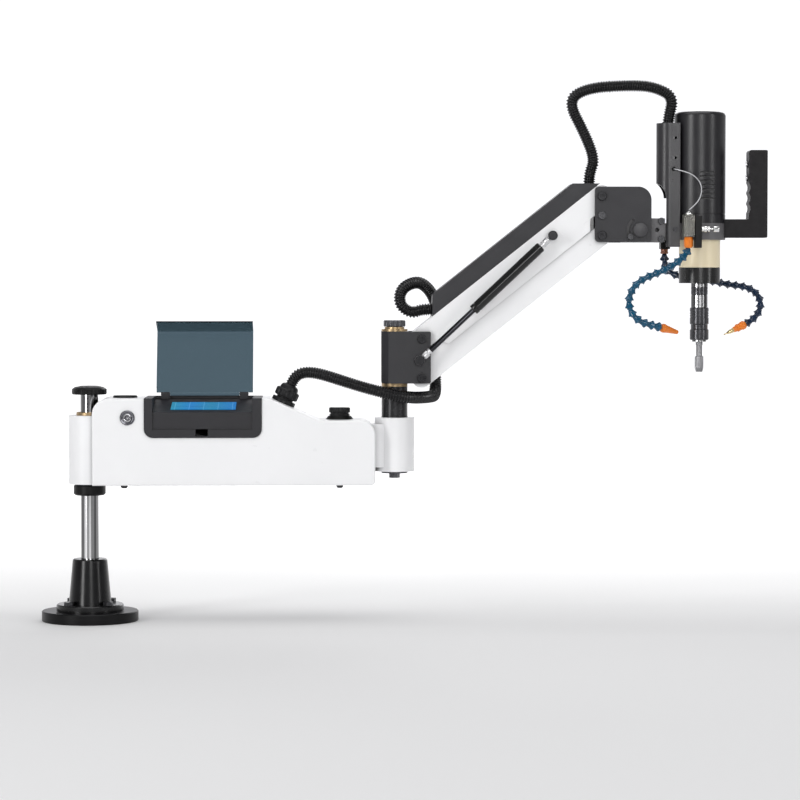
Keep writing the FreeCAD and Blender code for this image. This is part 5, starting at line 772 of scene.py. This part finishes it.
def make_sleeve(mats):
    """The collar and the grooved ring at the top of the spindle's sleeve."""
    x = node_axis("spindle")[2]
    top = node_box("gearbox_nose")[0][2]
    start = (x, 0.0, top)
    finish = (x, 0.0, top - SLEEVE_REACH)
    collar = lathes("sleeve_collar", [([
        (0.2, 9.4), (0.2, 14.2), (0.8, 15.1), (6.4, 15.1), (7.2, 14.4)],
        start, finish)], 48, mats["satin"], "spindle")
    ring = lathes("sleeve_ring", [([
        (7.0, 13.8), (7.4, 15.3), (11.4, 15.3), (11.8, 14.9), (12.4, 14.9), (12.8, 15.3), (20.6, 15.3),
        (21.4, 14.4)], start, finish)], 48, mats["chuck"], "spindle")


# ---- conduits ----

# Routes of the lower conduit, the upper conduit and the signal lead.
LOWER_A = (
    (365.5, 0.0, 428.2), (371.7, 0.0, 441.9), (385.0, -2.0, 451.0), (405.0, -6.0, 451.8),
    (430.0, -13.0, 446.0), (466.0, -24.0, 434.5), (504.0, -33.0, 423.0), (530.0, -38.0, 416.8),
)
LOWER_B = (
    (530.0, -38.0, 416.8), (556.0, -43.0, 410.6), (584.0, -35.0, 406.5), (606.0, -12.0, 406.0),
    (621.0, 16.0, 406.5), (629.0, 43.0, 407.5), (631.5, 63.0, 428.0), (631.0, 66.0, 496.0),
    (632.0, 65.0, 540.0), (632.0, 58.0, 578.0), (618.0, 44.0, 604.0), (596.0, 26.0, 618.0),
    (566.0, 8.0, 604.0), (562.0, 2.0, 576.0), (583.0, 0.0, 559.0), (606.0, 0.0, 566.0),
    (621.7, 0.0, 566.0),
)
UPPER_A = (
    (908.0, 0.0, 793.9), (908.0, 0.0, 812.0), (918.0, 0.0, 838.0), (900.0, 0.0, 884.0),
    (868.0, 0.0, 945.0), (905.0, -1.0, 968.0), (945.0, -3.0, 970.2),
)
UPPER_B = (
    (945.0, -3.0, 970.2), (985.0, -5.0, 972.4), (1025.0, -10.0, 969.0), (1060.0, -13.0, 951.0),
    (1050.0, -14.0, 912.0), (1050.0, -14.0, 898.3),
)
LEAD = (
    (1058.0, -34.3, 820.0), (1060.0, -44.0, 819.0), (1074.0, -52.0, 815.0), (1088.0, -55.0, 810.0),
    (1099.0, -57.0, 801.0), (1106.0, -58.0, 788.0), (1105.0, -59.0, 773.0), (1099.0, -60.0, 760.0),
    (1089.0, -61.0, 750.5), (1083.0, -62.0, 745.2),
)

# Widths and steps in metres, ribs in millimetres.
LEAD_WIDTH = 0.002
LEAD_STEP = 0.002
CONDUIT_SIDES = 24
RIB_PITCH = 4.5
RIB_STEPS = 8
RIB_CREST = 11.2
RIB_DEPTH = 2.6
RIB_SHARPNESS = 1.2


def corrugated(name, node, route, mats):
    """A ribbed conduit swept along a route given in millimetres, in place of its CAD node, which is hidden.
    """
    line, length = evenly(route_line(name, route), RIB_PITCH * MM / RIB_STEPS)
    radii = []
    for i in range(len(line)):
        wave = 0.5 + 0.5 * math.cos(2 * math.pi * i / RIB_STEPS)
        radii.append((RIB_CREST - RIB_DEPTH * (1.0 - wave) ** RIB_SHARPNESS) * MM)
    piece = tube(name, line, radii, CONDUIT_SIDES, mats["conduit"])
    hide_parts(node)
    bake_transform(piece)


def make_conduits(mats):
    """Both conduits, each in two runs that meet end to end, and the signal lead."""
    corrugated("conduit_run_low", "conduit_lower_a", LOWER_A, mats)
    corrugated("conduit_run_loop", "conduit_lower_b", LOWER_B, mats)
    corrugated("conduit_run_rise", "conduit_upper_a", UPPER_A, mats)
    corrugated("conduit_run_head", "conduit_upper_b", UPPER_B, mats)
    curve = route_curve("signal_wire", LEAD)
    curve.bevel_depth = LEAD_WIDTH / 2
    curve.bevel_resolution = 4
    curve.use_fill_caps = True
    curve.materials.append(mats["lead"])
    wire = bpy.data.objects.new("signal_wire", curve)
    SCENE.collection.objects.link(wire)
    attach(wire, "head")
    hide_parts("signal_lead")
    line, length = evenly(route_line("lead_line", LEAD), LEAD_STEP)


# ---- coolant hoses ----

LEFT_HOSE = (
    (1082.0, -62.0, 675.9), (1077.0, -66.0, 666.0), (1068.0, -70.0, 657.0), (1057.0, -73.0, 648.5),
    (1044.5, -75.0, 641.0), (1031.0, -77.0, 634.5), (1017.5, -78.0, 629.0), (1004.0, -79.0, 623.5),
    (991.5, -80.0, 616.5), (981.5, -80.0, 606.5), (975.0, -80.0, 594.0), (972.5, -80.0, 580.0),
    (975.0, -79.0, 566.0), (982.5, -77.0, 554.0), (994.0, -74.0, 545.0), (1007.0, -69.0, 540.0),
    (1020.0, -63.0, 537.0), (1032.5, -55.0, 534.0),
)
LEFT_TIP = (1066.0, -32.0, 524.5)
RIGHT_HOSE = (
    (1051.0, 48.0, 666.3), (1052.0, 53.0, 654.0), (1055.0, 58.0, 642.0), (1065.0, 60.0, 632.5),
    (1078.0, 60.0, 626.5), (1091.5, 60.0, 623.0), (1105.5, 60.0, 621.0), (1119.5, 59.0, 619.5),
    (1133.5, 57.5, 618.0), (1147.0, 55.0, 616.0), (1160.5, 52.0, 613.0), (1174.0, 49.0, 610.5),
    (1187.5, 46.0, 609.0), (1200.5, 43.0, 606.5), (1212.5, 40.0, 601.0), (1222.0, 37.5, 592.0),
    (1227.0, 35.0, 579.5), (1225.5, 33.0, 566.0), (1219.0, 31.0, 554.0), (1209.0, 29.0, 545.0),
    (1197.5, 26.5, 538.5),
)
RIGHT_TIP = (1149.0, 14.5, 515.5)

# One link of a hose: (share of the link's span, radius).
HOSE_LINK = (
    (-0.04, 3.4), (0.06, 4.6), (0.22, 5.0), (0.42, 6.2), (0.62, 8.2), (0.69, 8.7), (0.73, 8.4),
    (0.77, 6.4), (0.90, 5.2), (1.00, 4.6), (1.02, 3.4),
)
HOSE_CREASE = 30.0
NUT_CREASE = 20.0
COUPLING_X = 1051.0
COUPLING_Y = 48.0


def hose_links(name, node, route, material):
    """Ball-jointed links: a neck, a bell that widens to a sharp skirt, and a ball behind it."""
    shapes = []
    for start, finish in zip(route, route[1:]):
        span = (Vector(finish) - Vector(start)).length
        shapes.append(([(span * t, r) for t, r in HOSE_LINK], start, finish))
    piece = lathes(name, shapes, 20, material, "head", HOSE_CREASE)
    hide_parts(node)


def make_hoses(mats):
    """The two coolant hoses with their nozzles, nut and coupling."""
    hose_links("hose_left", "coolant_hose_left", LEFT_HOSE, mats["blue"])
    hose_links("hose_right", "coolant_hose_right", RIGHT_HOSE, mats["navy"])
    left = lathes("nozzle_left", [([
        (-1.0, 4.0), (0.5, 6.2), (5.0, 7.6), (6.0, 8.2), (9.0, 8.2), (11.0, 7.6), (26.0, 5.6), (36.0, 4.4),
        (40.5, 3.9), (41.5, 3.4), (41.5, 2.2), (38.0, 2.0)], LEFT_HOSE[-1], LEFT_TIP)], 28, mats["orange"],
        "head")
    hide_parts("hose_nozzles")
    right = lathes("nozzle_right", [([
        (-1.0, 4.0), (0.5, 6.4), (3.0, 8.0), (8.0, 8.0), (9.0, 7.0), (14.0, 6.6), (15.0, 7.4), (18.0, 7.2),
        (19.0, 5.8), (25.0, 5.0), (26.0, 4.0)], RIGHT_HOSE[-1], RIGHT_TIP)], 28, mats["orange"], "head")
    brass = lathes("nozzle_right_tip", [([
        (24.0, 3.6), (25.0, 4.4), (33.0, 3.7), (39.0, 1.9), (40.0, 1.2), (46.0, 1.1), (46.2, 0.6)],
        RIGHT_HOSE[-1], RIGHT_TIP)], 24, mats["gold"], "head")
    nut = lathes("hose_nut", [([
        (0.0, 6.2), (2.0, 7.8), (4.0, 8.4), (15.0, 8.4), (17.0, 7.6), (19.0, 7.4), (19.8, 6.0)],
        (VALVE_X, VALVE_Y, 677.0), (VALVE_X, VALVE_Y, 697.0))], 12, mats["orange"], "head", NUT_CREASE)
    coupling = lathes("hose_coupling", [([
        (0.0, 5.8), (0.8, 7.2), (3.5, 7.5), (4.2, 6.6), (8.9, 6.8)],
        (COUPLING_X, COUPLING_Y, 667.0), (COUPLING_X, COUPLING_Y, 676.0))], 24, mats["copper"], "head")


# ---- room ----

FLOOR_HALF = 30.0

# Along Y, where the floor starts to glow and where it glows most, and the same for its tone.
FLOOR_GLOW = (-0.2, 2.4)
FLOOR_SHADE = (-4.5, -1.9)

# Name, place, size and power in watts.
LIGHT_AIM = (0.6, 0.0, 0.5)
LIGHTS = (
    ("light_left", (-2.6, -3.2, 1.5), (1.0, 2.8), 72.0),
    ("light_front", (1.1, -5.6, 1.9), (1.3, 2.4), 64.0),
    ("light_right", (4.0, -2.4, 1.6), (0.6, 2.6), 26.0),
    ("light_top", (0.6, -0.4, 3.4), (3.4, 2.2), 44.0),
    ("light_back", (1.6, 4.6, 2.4), (2.4, 2.0), 30.0),
)

# The room's tones from the operator's side to the far side.
WORLD_TONES = ((0.0, 0.34), (0.22, 0.14), (0.62, 0.30), (0.88, 0.45), (0.965, 1.0), (1.0, 1.1))
WORLD_BLUE = 1.03


def make_room():
    """A pale floor that fades into the white of the room behind."""
    half = FLOOR_HALF
    points = [(-half, -half, 0.0), (half, -half, 0.0), (half, half, 0.0), (-half, half, 0.0)]
    paint = Paint("pale_floor", grey(0.88), 0.75).cloud(1.5, 0.01).peel(120.0, 0.0002)
    glow = paint.ramp(paint.along("Y", *FLOOR_GLOW), ((0.0, grey(0.0)), (1.0, grey(0.85))))
    paint.links.new(glow, paint.shader.inputs["Emission Color"])
    shade = paint.ramp(paint.along("Y", *FLOOR_SHADE), ((0.0, grey(0.36)), (1.0, grey(0.82))))
    paint.links.new(shade, paint.shader.inputs["Base Color"])
    paint.shader.inputs["Emission Strength"].default_value = 1.0
    floor = new_mesh("floor", points, [(0, 1, 2, 3)], paint.material, None)


def softbox(name, place, size, power):
    """A rectangular lamp turned to the machine, which the camera doesn't see."""
    data = bpy.data.lights.new(name, "AREA")
    data.shape = "RECTANGLE"
    data.size, data.size_y = size
    data.energy = power
    light = bpy.data.objects.new(name, data)
    light.location = place
    light.visible_camera = False
    light.rotation_euler = (Vector(LIGHT_AIM) - Vector(place)).to_track_quat("-Z", "Y").to_euler()
    SCENE.collection.objects.link(light)


def make_lights():
    """Soft boxes about the machine, and a room that is white behind it and grey in front."""
    for light in LIGHTS:
        softbox(*light)
    world = bpy.data.worlds.new("room_light")
    world.use_nodes = True
    nodes = world.node_tree.nodes
    links = world.node_tree.links
    place = nodes.new("ShaderNodeTexCoord")
    split = nodes.new("ShaderNodeSeparateXYZ")
    ramp = nodes.new("ShaderNodeValToRGB")
    fill_ramp(ramp, [(spot, (tone, tone, tone * WORLD_BLUE)) for spot, tone in WORLD_TONES])
    spread = nodes.new("ShaderNodeMapRange")
    spread.inputs["From Min"].default_value = -1.0
    links.new(place.outputs["Generated"], split.inputs["Vector"])
    links.new(split.outputs["Y"], spread.inputs["Value"])
    links.new(spread.outputs["Result"], ramp.inputs["Fac"])
    links.new(ramp.outputs["Color"], nodes["Background"].inputs["Color"])
    nodes["Background"].inputs["Strength"].default_value = 1.0
    SCENE.world = world
    SCENE.view_settings.view_transform = "Standard"


make_camera()
MATS = make_materials()
dress(MATS)
make_fittings(MATS)
make_struts(MATS)
make_valve(MATS)
make_motor_details(MATS)
make_bracket_details(MATS)
make_sleeve(MATS)
make_conduits(MATS)
make_hoses(MATS)
make_room()
make_lights()
